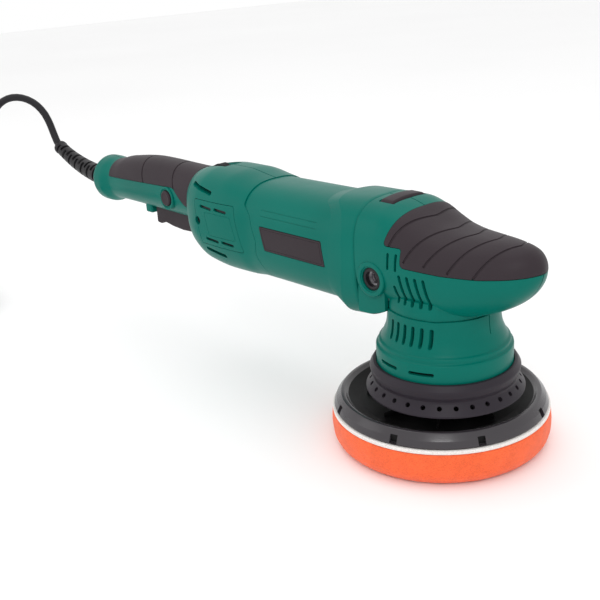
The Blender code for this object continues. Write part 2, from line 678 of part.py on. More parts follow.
def build_rear_grip():
    grip = loft("rear_grip", REAR_STATIONS, RUBBER_GREY)
    boolean(grip, "INTERSECT", rear_grip_region("rear_grip_region", 0.0))
    cut(grip, loft("rear_grip_inside", REAR_STATIONS, None, RUBBER, (2.0, -2.0)))


def rear_slots():
    made = [
        block("tail_slot_long_top", (-231, -60, 158.2), (-206, 60, 161.2), tilt=("Y", 8)),
        block("tail_slot_long_low", (-218, -60, 110.6), (-193, 60, 113.6), tilt=("Y", 8)),
    ]
    return made


def cover_slots(side):
    made = []
    for i, (x0, x1, z) in enumerate(((-220, -204.6, 148.4), (-201, -186, 148.4), (-214.6, -198, 122.6),
                                     (-194, -179.4, 122.6))):
        made.append(block("cover_slot_%s_%d" % (side, i), (x0, -60, z - 1.2), (x1, 60, z + 1.2)))
    return made


def build_rear_shells():
    recess = rear_grip_region("rear_grip_recess", GAP)
    cut(recess, loft("rear_recess_floor", REAR_STATIONS, None, RUBBER + GAP, (2.0, -2.0)))
    cavity = loft("rear_cavity", REAR_STATIONS[:-2], None, RUBBER + WALL, (2.0, 4.0))
    cover_pocket = prism("cover_pocket", widen(COVER_OUTLINE, GAP), -60, 60)
    cut(cover_pocket, loft("cover_floor", REAR_STATIONS, None, 2.1, (2.0, -2.0)))
    trigger_way = block("trigger_way", (-339.4, -9.0, 100), (-255.0, 9.0, 131))
    dial_way = block("dial_way", (-251.0, -5.4, 150), (-223.0, 5.4, 190))
    boot_way = rod("boot_way", 10.3, -60.0, 30.0, None, (HANDLE_END, 0, BOOT_START.z), "X", 24)
    pin_seat = rod("pin_seat", 1.5 + GAP, -15.0, 15.0, None, (TRIGGER_PIVOT[0], 0, TRIGGER_PIVOT[1]), "Y", 12)
    guard = block("trigger_guard", (-350.0, -11.0, 118.4), (-340.0, 11.0, 126.0), None, 1.0)
    for side, sign in (("right", -1), ("left", 1)):
        shell = loft("rear_shell_" + side, REAR_STATIONS, GREEN)
        near, far = (-0.15, 90.0) if sign < 0 else (-90.0, 0.15)
        half = block("rear_split_" + side, (-500, near, 60), (-100, far, 220))
        join(shell, guard)
        cut(shell, recess, cover_pocket, cavity, half, trigger_way, dial_way, boot_way, pin_seat)
        if sign < 0:
            ring = rod("lock_ring", 10.2, -21.2, -15.0, None, (LOCK_X, 0, LOCK_Z), "Y", 20)
            hole = rod("lock_hole", 7.2, -40.0, -8.0, None, (LOCK_X, 0, LOCK_Z), "Y", 20)
            join(shell, ring)
            cut(shell, hole)
        cut(shell, *rear_slots())
        cover = loft("brush_cover_" + side, REAR_STATIONS, GREEN)
        low, high = (-60, 0) if sign < 0 else (0, 60)
        boolean(cover, "INTERSECT", prism("cover_outline_" + side, COVER_OUTLINE, low, high))
        cut(cover, loft("cover_back_" + side, REAR_STATIONS, None, 1.8, (2.0, -2.0)), *cover_slots(side))
        screw_hole = rod("cover_screw_hole_" + side, 3.4, -50.0, 50.0, None,
                         (COVER_SCREW[0], 0, COVER_SCREW[1]), "Y", 14)
        cut(cover, screw_hole)
        cut(shell, screw_hole)
        head = 39.2
        screw = [(0, -head + 12), (1.6, -head + 12), (1.6, -head + 2.2), (3.0, -head + 1.6), (3.0, -head), (0, -head)]
        made = turned("cover_screw_" + side, screw, STEEL, (COVER_SCREW[0], 0, COVER_SCREW[1]), "Y", 14)
        if sign > 0:
            made.rotation_euler = (math.pi / 2, 0, 0)


def build_controls():
    x0, z0 = TRIGGER_PIVOT
    outline = [(-337.0, 109.4), (-331.0, 109.0), (-323.0, 111.4), (-312.0, 109.0), (-296.0, 108.2), (-268.0, 110.4),
               (-262.0, 118.0), (-262.0, 127.0), (-337.0, 124.8)]
    trigger = prism("trigger", outline, -8.2, 8.2, RUBBER_GREY)
    trigger.data.transform(Matrix.Translation(Vector((-x0, 0, -z0)) * MM))
    trigger.location = Vector((x0, 0, z0)) * MM
    softened = trigger.modifiers.new("bevel", "BEVEL")
    softened.width = 1.6 * MM
    softened.segments = 2
    rod("trigger_pin", 1.5, -13.5, 13.5, STEEL, (x0, 0, z0), "Y", 12)
    cut(trigger, rod("trigger_pin_hole", 1.9, -20.0, 20.0, None, (x0, 0, z0), "Y", 12))
    block("switch_body", (-322.0, -8.8, 136.0), (-276.0, 8.8, 158.0), BLACK, 1.0)
    rod("lock_button", 6.8, -22.6, -12.6, RUBBER_GREY, (LOCK_X, 0, LOCK_Z), "Y", 24)
    dial = [(0, 7.5), (2.0, 7.5), (2.0, 4.2), (12.2, 4.2), (12.2, -4.2), (2.0, -4.2), (2.0, -7.5), (0, -7.5)]
    turned("speed_dial", dial, BLACK, (DIAL_X, 0, DIAL_Z), "Y", 24)
    block("speed_control", (-262.0, -12.0, 138.0), (-228.0, 12.0, 147.5), BLACK, 0.8)


# ---------------------------------------------------------------- cord, coil and plug

BOOT_ROUTE = [
    (BOOT_START.x, 0.0, BOOT_START.z), (-436.0, 0.0, 139.2), (-450.0, 0.0, 140.0), (-465.0, 0.0, 142.0),
    (-480.0, 0.0, 145.0), (-495.0, 0.0, 149.0), (-510.0, 0.0, 154.2), (-526.0, 0.0, 161.0),
]
CORD_ROUTE = [
    (-528.2, 0.0, 162.6), (-531.8, 0.0, 167.2), (-535.6, -0.3, 175.0), (-539.0, -1.4, 185.6), (-543.6, -4.0, 196.6),
    (-551.0, -9.6, 206.6), (-562.0, -17.6, 212.4), (-575.0, -26.4, 212.0), (-587.0, -34.8, 204.0),
    (-596.4, -41.4, 188.4), (-603.4, -47.4, 165.0), (-608.6, -52.6, 138.0), (-612.0, -56.8, 108.0),
    (-615.8, -61.6, 78.0), (-621.0, -67.4, 50.0), (-629.0, -75.4, 26.0), (-641.0, -87.0, 9.6),
    (-650.6, -102.0, 4.2), (-653.4, -119.0, 4.2), (-650.8, -133.0, 4.4),
]


def build_cord():
    radii = [1.35, 1.35, 1.28, 1.2, 1.12, 1.04, 0.96, 0.92]
    wire("cord_boot", BOOT_ROUTE, 7.3, BLACK, radii, sides=2)
    wire("cord_lead", smooth_path(CORD_ROUTE, 2.2 * CORD_D), CORD_D / 2, CORD_RUBBER)
    cx, cy = COIL_CENTRE
    half = COIL_BUNDLE / 2
    middle = COIL_FLOOR + half
    profile = []
    for i in range(8):
        angle = math.pi / 2 - 2 * math.pi * (i + 0.5) / 8
        c, s = math.cos(angle), math.sin(angle)
        profile.append((COIL_MEAN_R + half * math.copysign(abs(c) ** 0.7, c),
                        middle + half * math.copysign(abs(s) ** 0.7, s)))
    turned("cord_coil", profile, CORD_RUBBER, (cx, cy, 0), steps=28, ring=True)

    outer = block("tie_outer", (cx + COIL_MEAN_R - half - 2.0, cy - 5, 0.2),
                  (cx + COIL_MEAN_R + half + 2.0, cy + 5, COIL_FLOOR + COIL_BUNDLE + 2.0), CORD_RUBBER, 1.2)
    outer.name = "cord_tie"
    inner = block("tie_inner", (cx + COIL_MEAN_R - half - 0.6, cy - 9, COIL_FLOOR - 0.6),
                  (cx + COIL_MEAN_R + half + 0.6, cy + 9, COIL_FLOOR + COIL_BUNDLE + 0.6))
    cut(outer, inner)

    lead_y = cy - COIL_MEAN_R - half - CORD_D / 2 - 0.6
    lead_end = cx + 46.0
    plug_z = 17.6
    lead = [(cx - 22.0, lead_y + 1.2, 4.4), (cx, lead_y, 4.4), (cx + 14.0, lead_y, 8.0), (cx + 25.0, lead_y, 14.6),
            (lead_end - 11.0, lead_y, plug_z - 0.4), (lead_end - 1.0, lead_y, plug_z)]
    wire("cord_end", smooth_path(lead, 2.2 * CORD_D), CORD_D / 2, CORD_RUBBER)
    body = [(0, 44.0), (16.0, 44.0), (17.4, 42.6), (17.4, 26.0), (12.0, 18.0), (7.0, 10.0), (6.0, 0), (0, 0)]
    plug = turned("plug", body, BLACK, (lead_end + 0.3, lead_y, plug_z), "X", 18)
    for sign in (-1, 1):
        pin = rod("plug_pin_%d" % sign, 2.4, 40.0, 63.0, None, (lead_end + 0.3, lead_y + 9.5 * sign, plug_z), "X", 8)
        join(plug, pin)


def main():
    build_pad()
    build_backing_plate()
    build_pad_spindle()
    build_output_drive()
    build_gears()
    build_gear_case()
    build_motor()
    build_brush_gear()
    build_shroud()
    build_neck()
    build_nose_grip()
    build_head()
    build_motor_housing()
    build_rear_grip()
    build_rear_shells()
    build_controls()
    build_cord()


main()
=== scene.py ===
import json
import math

import bmesh
import bpy
from mathutils import Matrix, Vector, noise


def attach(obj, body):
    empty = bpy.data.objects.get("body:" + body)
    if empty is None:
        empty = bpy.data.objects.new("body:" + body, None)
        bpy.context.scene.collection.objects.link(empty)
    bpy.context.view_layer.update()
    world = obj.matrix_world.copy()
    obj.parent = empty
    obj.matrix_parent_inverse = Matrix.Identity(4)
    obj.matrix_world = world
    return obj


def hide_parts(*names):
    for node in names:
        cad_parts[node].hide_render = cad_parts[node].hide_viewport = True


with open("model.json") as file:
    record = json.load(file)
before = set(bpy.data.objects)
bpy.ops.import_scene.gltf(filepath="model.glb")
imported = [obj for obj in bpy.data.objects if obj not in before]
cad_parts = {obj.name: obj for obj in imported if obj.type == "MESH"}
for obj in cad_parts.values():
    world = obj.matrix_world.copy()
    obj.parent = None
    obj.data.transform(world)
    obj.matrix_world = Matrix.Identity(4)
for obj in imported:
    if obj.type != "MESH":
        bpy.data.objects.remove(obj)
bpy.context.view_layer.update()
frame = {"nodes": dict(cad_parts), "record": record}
MM = 0.001
SEAM = 0.34  # half the dark line between two mouldings


# Camera.

CAMERA_AT = (0.383, -0.452, 0.328)
CAMERA_TURN = (40.3, 20.1, -4.15)  # heading, pitch and roll in degrees


def make_camera():
    """The photograph's view: azimuth 49.7, 20.1 degrees down, with a slight roll."""
    heading, pitch, roll = (math.radians(turn) for turn in CAMERA_TURN)
    data = bpy.data.cameras.new("camera")
    data.lens = 55.38
    data.sensor_width = 36.0
    data.clip_start, data.clip_end = 0.01, 20.0
    camera = bpy.data.objects.new("camera", data)
    bpy.context.scene.collection.objects.link(camera)
    flat = math.cos(pitch)
    forward = Vector((-math.cos(heading) * flat, math.sin(heading) * flat, -math.sin(pitch)))
    level = Vector((math.sin(heading), math.cos(heading), 0))
    up = level.cross(forward)
    right2 = level * math.cos(roll) + up * math.sin(roll)
    up2 = up * math.cos(roll) - level * math.sin(roll)
    turn = Matrix((right2, up2, -forward)).transposed()
    camera.matrix_world = Matrix.Translation(Vector(CAMERA_AT)) @ turn.to_4x4()
    bpy.context.scene.camera = camera


make_camera()


# Materials.

class Nodes:
    """Small helper round one material's node tree."""

    def __init__(self, name):
        self.material = bpy.data.materials.new(name)
        self.material.use_nodes = True
        self.tree = self.material.node_tree
        self.shader = self.tree.nodes["Principled BSDF"]
        self.place = self.tree.nodes.new("ShaderNodeTexCoord").outputs["Object"]

    def fill(self, node, values):
        """Sets the node's inputs by name, or links them where a value is another node's output."""
        for name, value in values.items():
            if hasattr(value, "links"):
                self.tree.links.new(value, node.inputs[name])
            else:
                node.inputs[name].default_value = value

    def add(self, kind, values):
        node = self.tree.nodes.new("ShaderNode" + kind)
        self.fill(node, values)
        return node

    def noise(self, scale, detail=4.0, roughness=0.5):
        values = {"Vector": self.place, "Scale": scale, "Detail": detail, "Roughness": roughness}
        return self.add("TexNoise", values).outputs["Fac"]

    def cells(self, scale):
        return self.add("TexVoronoi", {"Vector": self.place, "Scale": scale}).outputs["Distance"]

    def ramp(self, value, low, high, first=(0, 0, 0), last=(1, 1, 1)):
        node = self.add("ValToRGB", {"Fac": value})
        for element, position, color in zip(node.color_ramp.elements, (low, high), (first, last)):
            element.position = position
            element.color = (*color, 1)
        return node.outputs["Color"]

    def spread(self, value, low, high):
        return self.add("MapRange", {"Value": value, "To Min": low, "To Max": high}).outputs["Result"]

    def join(self, first, second, blend="MULTIPLY", amount=1.0):
        node = self.add("MixRGB", {"Fac": amount, "Color1": first, "Color2": second})
        node.blend_type = blend
        return node.outputs["Color"]

    def bump(self, height, strength, distance):
        node = self.add("Bump", {"Height": height, "Strength": strength, "Distance": distance})
        self.set("Normal", node.outputs["Normal"])

    def set(self, name, value):
        self.fill(self.shader, {name: value})


def moulded(name, color, rough, grain=900.0, depth=0.00012, shade=0.86, coat=0.0, gloss=0.28):
    """Moulded plastic or rubber: a fine spark-eroded grain, slow colour and gloss variation."""
    made = Nodes(name)
    dark = tuple(c * shade for c in color)
    made.set("Base Color", made.ramp(made.noise(14.0, 3.0), 0.3, 0.7, dark, color))
    made.set("Roughness", made.spread(made.noise(60.0, 4.0), rough - 0.05, rough + 0.06))
    made.set("Coat Weight", coat)
    made.set("Specular IOR Level", gloss)
    made.bump(made.noise(grain, 2.0), 0.35, depth)
    return made.material


def metal(name, color, rough, scale=400.0, depth=0.0001):
    made = Nodes(name)
    dark = tuple(c * 0.8 for c in color)
    made.set("Base Color", made.ramp(made.noise(80.0, 4.0), 0.35, 0.65, dark, color))
    made.set("Metallic", 1.0)
    made.set("Roughness", made.spread(made.noise(scale, 3.0), rough - 0.08, rough + 0.1))
    made.bump(made.noise(scale, 3.0), 0.25, depth)
    return made.material


def foam(name, color, dark, cell, depth):
    """Open-cell foam: small pores, coloured darker than the walls between them as painted shade."""
    made = Nodes(name)
    # Cell centres are coloured darker: painted shade in the pores.
    pore_shade = made.ramp(made.cells(cell), 0.12, 0.5, dark, color)
    mottle = made.ramp(made.noise(120.0, 5.0), 0.3, 0.75, (0.86, 0.86, 0.86), (1, 1, 1))
    made.set("Base Color", made.join(pore_shade, mottle))
    made.set("Roughness", 0.96)
    made.set("Sheen Weight", 0.15)
    made.bump(made.join(made.cells(cell), made.noise(260.0, 4.0), "ADD", 0.5), 0.6, depth)
    return made.material


def fibrous(name, color, dark):
    made = Nodes(name)
    made.set("Base Color", made.ramp(made.noise(1500.0, 3.0), 0.3, 0.6, dark, color))
    made.set("Roughness", 0.95)
    made.set("Sheen Weight", 0.3)
    made.bump(made.noise(1500.0, 3.0), 0.6, 0.0004)
    return made.material


GREEN = moulded("green_moulded", (0.0, 0.14, 0.108), 0.34, gloss=0.1)
RUBBER = moulded("grip_rubber", (0.032, 0.023, 0.028), 0.5, 700.0, 0.0002, 0.8, gloss=0.18)
SHROUD = moulded("shroud_rubber", (0.024, 0.019, 0.026), 0.44, 800.0, 0.00015, 0.85, gloss=0.2)
PLATE = moulded("plate_moulded", (0.032, 0.027, 0.032), 0.24, 900.0, 0.0001, 0.85, 0.1, 0.5)
# Near-black material for the plate's bowl, the notch blocks and the bowl ribs: painted shade for the shadow
# inside the bowl and notches.
BOWL_SHADE = moulded("plate_bowl_painted_shade", (0.004, 0.0038, 0.004), 0.55, 900.0, 0.0001, 0.8, gloss=0.15)
BLACK = moulded("black_moulded", (0.01, 0.009, 0.011), 0.42, 800.0, 0.00012, 0.8)
CORD = moulded("cord_jacket", (0.01, 0.009, 0.012), 0.48, 600.0, 0.0001, 0.8)
CARBON = moulded("carbon_block", (0.03, 0.03, 0.032), 0.6, 500.0, 0.0002, 0.7)
ORANGE = foam("orange_foam", (1.0, 0.15, 0.04), (0.78, 0.08, 0.02), 1300.0, 0.0005)
LOOP = fibrous("loop_fabric", (0.86, 0.83, 0.8), (0.62, 0.58, 0.55))
STEEL = metal("turned_steel", (0.4, 0.39, 0.41), 0.32)
IRON = metal("cast_weight", (0.3, 0.3, 0.31), 0.55, 250.0, 0.0004)
CASTING = metal("cast_aluminium", (0.36, 0.34, 0.36), 0.5, 300.0, 0.0003)
COPPER = metal("enamelled_copper", (0.72, 0.3, 0.14), 0.35)
BRASS = metal("gear_brass", (0.75, 0.55, 0.25), 0.3)

CAD_LOOKS = {"green_plastic": GREEN, "grip_rubber": RUBBER, "shroud_rubber": SHROUD, "plate_plastic": PLATE,
    "black_plastic": BLACK, "orange_foam": ORANGE, "loop_fabric": LOOP, "steel": STEEL,
    "counterweight_metal": IRON, "cast_aluminium": CASTING, "copper": COPPER, "gear_brass": BRASS,
    "carbon": CARBON, "cord_rubber": CORD}


def dress_frame():
    """Every CAD node gets the procedural material of its slot."""
    for row in frame["record"]["subparts"]:
        node = frame["nodes"][row["node"]]
        node.data.materials.clear()
        node.data.materials.append(CAD_LOOKS[row["material_slot"]])


dress_frame()


# Mesh building.

def link(name, mesh):
    obj = bpy.data.objects.new(name, mesh)
    bpy.context.scene.collection.objects.link(obj)
    return obj


def finish_mesh(bm, name):
    bmesh.ops.recalc_face_normals(bm, faces=bm.faces)
    mesh = bpy.data.meshes.new(name)
    bm.to_mesh(mesh)
    bm.free()
    return mesh


def band(bm, first, second):
    """Quads between two loops."""
    for i in range(len(first)):
        j = (i + 1) % len(first)
        bm.faces.new((first[i], first[j], second[j], second[i]))


def grid_solid(name, rows, wrap=False):
    """A closed solid from rows of points: each row a loop, with end caps, or the rows joined round."""
    bm = bmesh.new()
    made = [[bm.verts.new(Vector(p) * MM) for p in row] for row in rows]
    pairs = list(zip(made, made[1:])) + ([(made[-1], made[0])] if wrap else [])
    for first, second in pairs:
        band(bm, first, second)
    if not wrap:
        bm.faces.new(made[0])
        bm.faces.new(reversed(made[-1]))
    return link(name, finish_mesh(bm, name))


def turned(name, profile, at=(0, 0, 0), axis="Z", steps=128):
    """A closed (radius, height) outline turned about an axis through at."""
    at = Vector(at)
    bm = bmesh.new()
    rows = []
    for k in range(steps):
        a = 2 * math.pi * k / steps
        row = []
        for r, h in profile:
            c, s = r * math.cos(a), r * math.sin(a)
            p = {"Z": (c, s, h), "X": (h, c, s), "Y": (s, h, c)}[axis]
            row.append(bm.verts.new((at + Vector(p)) * MM))
        rows.append(row)
    for k in range(steps):
        band(bm, rows[k], rows[(k + 1) % steps])
    bmesh.ops.remove_doubles(bm, verts=bm.verts, dist=1e-6)
    bmesh.ops.dissolve_degenerate(bm, dist=1e-7, edges=bm.edges)
    return link(name, finish_mesh(bm, name))


def rod(name, radius, start, end, at=(0, 0, 0), axis="Z", steps=64):
    return turned(name, [(0, start), (radius, start), (radius, end), (0, end)], at, axis, steps)


def rounded(profile, radius, steps=4):
    """A closed outline with its corners rounded; radius may be a list, one for each corner."""
    made = []
    count = len(profile)
    for i in range(count):
        before, corner, after = (Vector((*profile[(i + k) % count], 0)) for k in (-1, 0, 1))
        wanted = radius[i] if isinstance(radius, (list, tuple)) else radius
        a, b = before - corner, after - corner
        if wanted <= 0 or a.length < 1e-6 or b.length < 1e-6:
            made.append((corner.x, corner.y))
            continue
        cosine = max(-1.0, min(1.0, a.normalized().dot(b.normalized())))
        angle = math.acos(cosine)
        if angle > math.pi - 0.05 or angle < 0.05:
            made.append((corner.x, corner.y))
            continue
        reach = min(wanted / math.tan(angle / 2), a.length * 0.48, b.length * 0.48)
        start, end = corner + a.normalized() * reach, corner + b.normalized() * reach
        for k in range(steps + 1):
            t = k / steps
            p = start * (1 - t) ** 2 + corner * 2 * t * (1 - t) + end * t * t
            made.append((p.x, p.y))
    return made


def prism(name, outline, low, high):
    """An (x, z) outline carried along Y."""
    bm = bmesh.new()
    near = [bm.verts.new((x * MM, low * MM, z * MM)) for x, z in outline]
    far = [bm.verts.new((x * MM, high * MM, z * MM)) for x, z in outline]
    bm.faces.new(near)
    bm.faces.new(reversed(far))
    for i in range(len(outline)):
        j = (i + 1) % len(outline)
        bm.faces.new((near[i], far[i], far[j], near[j]))
    return link(name, finish_mesh(bm, name))


def block(name, low, high, bevel=0.0, segments=3):
    bm = bmesh.new()
    size = Vector(high) - Vector(low)
    centre = (Vector(high) + Vector(low)) / 2
    place = Matrix.Translation(centre * MM) @ Matrix.Diagonal((*(size * MM), 1))
    bmesh.ops.create_cube(bm, size=1.0, matrix=place)
    if bevel:
        edges = list(bm.edges)
        bmesh.ops.bevel(bm, geom=edges, offset=bevel * MM, segments=segments, profile=0.5, affect="EDGES")
    return link(name, finish_mesh(bm, name))


def capsule(x0, z0, x1, z1, width, steps=6):
    """A slot's outline: a straight run with round ends."""
    along = Vector((x1 - x0, z1 - z0)).normalized()
    across = Vector((-along.y, along.x)) * width / 2
    start = math.atan2(across.y, across.x)
    made = []
    for (cx, cz), turn in (((x1, z1), 0.0), ((x0, z0), math.pi)):
        for k in range(steps + 1):
            a = start + turn - math.pi * k / steps
            made.append((cx + math.cos(a) * width / 2, cz + math.sin(a) * width / 2))
    return made


def tube_rows(points, radius, sides=8, closed=False):
    """Rings of points round a path; radius is a number or a function of (share, angle)."""
    points = [Vector(p) for p in points]
    count = len(points)
    rows = []
    side = None
    for i, p in enumerate(points):
        before = points[i - 1] if i or closed else p
        after = points[(i + 1) % count] if i < count - 1 or closed else p
        along = (after - before).normalized()
        if side is None:
            other = Vector((0, 0, 1)) if abs(along.z) < 0.9 else Vector((0, 1, 0))
            side = along.cross(other).normalized()
        else:
            side = (side - along * side.dot(along)).normalized()
        across = along.cross(side)
        row = []
        for k in range(sides):
            a = 2 * math.pi * k / sides
            r = radius(i / (count - 1), a) if callable(radius) else radius
            row.append(p + (side * math.cos(a) + across * math.sin(a)) * r)
        rows.append(row)
    return rows


def tube(name, points, radius, sides=8, closed=False):
    return grid_solid(name, tube_rows(points, radius, sides, closed), closed)


def merged(name, objects):
    """One object from several that don't touch."""
    bm = bmesh.new()
    for obj in objects:
        bm.from_mesh(obj.data)
        mesh = obj.data
        bpy.data.objects.remove(obj)
        bpy.data.meshes.remove(mesh)
    made = bpy.data.meshes.new(name)
    bm.to_mesh(made)
    bm.free()
    return link(name, made)


def carve(obj, *steps):
    """Runs Booleans on obj and keeps the result as its mesh. Each step is (operation, tool)."""
    for operation, tool in steps:
        modifier = obj.modifiers.new("carve", "BOOLEAN")
        modifier.operation = operation
        modifier.object = tool
        modifier.solver = "EXACT"
    graph = bpy.context.evaluated_depsgraph_get()
    result = bpy.data.meshes.new_from_object(obj.evaluated_get(graph))
    old = obj.data
    obj.modifiers.clear()
    obj.data = result
    bpy.data.meshes.remove(old)
    result.materials.clear()


def less(tool):
    return "DIFFERENCE", tool


def plus(tool):
    return "UNION", tool


def only(tool):
    return "INTERSECT", tool


def drop(*objects):
    for obj in objects:
        mesh = obj.data
        bpy.data.objects.remove(obj)
        bpy.data.meshes.remove(mesh)


def keep(obj, material, *nodes, body="housing", slot=None, degrees=32):
    """Finishes a piece: its material, shading and body, and the CAD nodes it stands for; slot is not used."""
    obj.data.materials.clear()
    obj.data.materials.append(material)
    obj.data.shade_smooth()
    obj.data.set_sharp_from_angle(angle=math.radians(degrees))
    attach(obj, body)
    if nodes:
        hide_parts(*nodes)


# Smooth hulls through stations.

def eased(share):
    """A share kept between 0 and 1, with a soft start and end."""
    share = min(max(share, 0.0), 1.0)
    return share * share * (3 - 2 * share)


def smooth_through(xs, ys):
    """A monotone cubic through the points, so it never overshoots a step."""
    slopes = [(b - a) / (d - c) for a, b, c, d in zip(ys, ys[1:], xs, xs[1:])]
    tangents = [slopes[0]]
    for s, t in zip(slopes, slopes[1:]):
        tangents.append(0.0 if s * t <= 0 else 2 * s * t / (s + t))
    tangents.append(slopes[-1])

    def at(x):
        x = min(max(x, xs[0]), xs[-1])
        i = max(k for k in range(len(xs) - 1) if xs[k] <= x)
        h = xs[i + 1] - xs[i]
        t = (x - xs[i]) / h
        return ((2 * t ** 3 - 3 * t ** 2 + 1) * ys[i] + (t ** 3 - 2 * t ** 2 + t) * h * tangents[i]
            + (3 * t ** 2 - 2 * t ** 3) * ys[i + 1] + (t ** 3 - t ** 2) * h * tangents[i + 1])

    return at


class Hull:
    """A rounded body along X: superellipse sections between a top and a bottom line."""

    def __init__(self, stations):
        rows = sorted(stations)
        xs = [r[0] for r in rows]
        self.half, self.top, self.bottom, self.power = (smooth_through(xs, [r[k] for r in rows])
            for k in (1, 2, 3, 4))

    def sizes(self, x, inset=0.0):
        half = max(self.half(x) - inset, 0.4)
        top, bottom = self.top(x) - inset, self.bottom(x) + inset
        middle = (self.top(x) + self.bottom(x)) / 2
        return half, max((top - bottom) / 2, 0.4), middle, self.power(x)

    def point(self, x, angle, inset=0.0):
        """The surface point in the direction angle, measured from +Y towards +Z."""
        half, tall, middle, power = self.sizes(x, inset)
        c, s = math.cos(angle), math.sin(angle)
        r = (abs(c / half) ** power + abs(s / tall) ** power) ** (-1 / power)
        return Vector((x, r * c, middle + r * s))

    def side(self, x, z, inset=0.0):
        """The surface's |y| at that x and z."""
        half, tall, middle, power = self.sizes(x, inset)
        share = min(abs(z - middle) / tall, 1.0)
        return half * (1 - share ** power) ** (1 / power)

    def loop(self, x, inset=0.0, count=160):
        return [self.point(x, 2 * math.pi * (k + 0.5) / count, inset) for k in range(count)]

    def solid(self, name, xs, inset=0.0, count=128):
        return grid_solid(name, [self.loop(x, inset, count) for x in xs])


def stations_at(low, high, step):
    count = max(2, round((high - low) / step) + 1)
    return [low + (high - low) * k / (count - 1) for k in range(count)]


# Each station is x, half width, top, bottom and the exponent of its section.
HEAD = Hull([(-46.9, 36.8, 174.4, 102.0, 3.0), (-30.0, 37.0, 174.2, 102.0, 3.0),
    (-16.0, 36.8, 171.0, 102.0, 2.8), (-5.0, 36.2, 165.8, 102.0, 2.7), (8.0, 34.8, 161.0, 102.0, 2.6),
    (22.0, 32.8, 158.8, 102.4, 2.5), (38.0, 29.4, 158.0, 106.4, 2.4), (50.0, 26.0, 157.6, 111.0, 2.3),
    (60.0, 22.0, 156.8, 116.4, 2.2), (68.0, 17.2, 155.2, 122.6, 2.2), (74.0, 11.4, 151.8, 129.6, 2.1),
    (77.2, 5.6, 147.4, 135.6, 2.0), (78.4, 2.0, 144.2, 139.4, 2.0)])
MOTOR = Hull([(-47.2, 36.8, 174.4, 88.6, 3.0), (-58.0, 37.8, 174.2, 88.0, 3.1),
    (-64.0, 38.4, 173.2, 88.2, 3.2), (-67.6, 38.5, 172.4, 89.0, 3.2), (-71.2, 37.4, 170.0, 94.0, 2.7),
    (-76.0, 37.4, 170.0, 94.0, 2.7), (-175.0, 37.4, 170.0, 94.0, 2.7)])
REAR = Hull([(-140.0, 37.4, 170.0, 94.0, 2.7), (-160.3, 37.5, 170.0, 93.9, 2.7),
    (-175.0, 39.4, 171.6, 92.8, 2.7), (-200.0, 40.6, 175.0, 92.4, 2.7), (-224.0, 40.0, 175.2, 94.6, 2.7),
    (-240.0, 37.0, 173.4, 100.0, 2.6), (-250.0, 31.6, 171.0, 107.6, 2.5), (-256.5, 25.0, 169.4, 115.6, 2.4),
    (-259.5, 20.4, 168.6, 121.6, 2.3), (-330.0, 19.7, 170.2, 122.8, 2.3), (-378.0, 18.6, 166.0, 123.4, 2.3),
    (-399.0, 17.8, 161.8, 123.0, 2.2), (-413.0, 21.8, 162.8, 118.4, 2.0), (-421.0, 21.8, 162.8, 118.4, 2.0),
    (-427.0, 18.6, 159.4, 121.8, 2.0), (-431.0, 13.0, 153.4, 128.0, 2.0)])
GRIP = 2.4  # thickness of the soft overmoulding
WALL = 2.6


# Pad, loop layer, plate and shroud.

PAD_X, PAD_Y = -9.271, 5.139
PAD_AT = Vector((PAD_X, PAD_Y, 0))
PAD_R = 77.5
PAD_TOP = 25.0
LOOP_TOP = 27.9
PLATE_R = 75.5
PLATE_BOTTOM = 28.2
PAD_EDGE, TOP_EDGE = 11.6, 1.6  # the foam's lower and upper edge radii
NOTCHES, NOTCH_TURN, RIB_TURN = 8, -28.6, -6.1
SHROUD_HOLES = 30


def build_pad():
    """The foam disc: rounded lower edge, a slightly proud side wall and uneven cut foam."""
    profile = []
    for k in range(24):
        profile.append((PAD_R * 0.86 * k / 24, 0.0))
    for k in range(15):
        a = math.pi / 2 * k / 14
        profile.append((PAD_R - 0.4 - PAD_EDGE * (1 - math.sin(a)), PAD_EDGE * (1 - math.cos(a))))
    for k in range(1, 11):
        z = PAD_EDGE + (PAD_TOP - TOP_EDGE - PAD_EDGE) * k / 10
        profile.append((PAD_R - 0.4 + 0.4 * math.sin(math.pi * k / 10), z))
    for k in range(1, 5):
        a = math.pi / 2 * k / 4
        height = PAD_TOP - TOP_EDGE + TOP_EDGE * math.sin(a)
        profile.append((PAD_R - 0.4 - TOP_EDGE * (1 - math.cos(a)), height))
    for k in range(12):
        profile.append(((PAD_R - 4.0) * (1 - k / 11), PAD_TOP))
    steps = 240
    bm = bmesh.new()
    rows = []
    for r, h in profile[1:-1]:
        row = []
        for k in range(steps):
            a = 2 * math.pi * k / steps
            p = Vector((r * math.cos(a), r * math.sin(a), h))
            rough = noise.noise(p * 0.55) * 0.16 + noise.noise(p * 0.09) * 0.3
            if 1.0 < h < PAD_TOP - 1.0:
                p += Vector((math.cos(a), math.sin(a), 0)) * rough
            row.append(bm.verts.new((p + PAD_AT) * MM))
        rows.append(row)
    bottom = bm.verts.new(PAD_AT * MM)
    top = bm.verts.new(Vector((PAD_X, PAD_Y, PAD_TOP)) * MM)
    for first, second in zip(rows, rows[1:]):
        band(bm, first, second)
    for i in range(steps):
        j = (i + 1) % steps
        bm.faces.new((bottom, rows[0][j], rows[0][i]))
        bm.faces.new((top, rows[-1][i], rows[-1][j]))
    pad = link("foam_pad", finish_mesh(bm, "foam_pad"))
    keep(pad, ORANGE, "polishing_pad", body="pad", degrees=60)

    low, high, rim = PAD_TOP + 0.2, LOOP_TOP, PAD_R - 0.7
    ring = rounded([(0.6, high), (rim, high), (rim, low), (0.6, low)], [0, 0.8, 0.8, 0])
    layer = turned("loop_ring", ring, PAD_AT, steps=200)
    keep(layer, LOOP, "pad_loop_layer", body="pad")


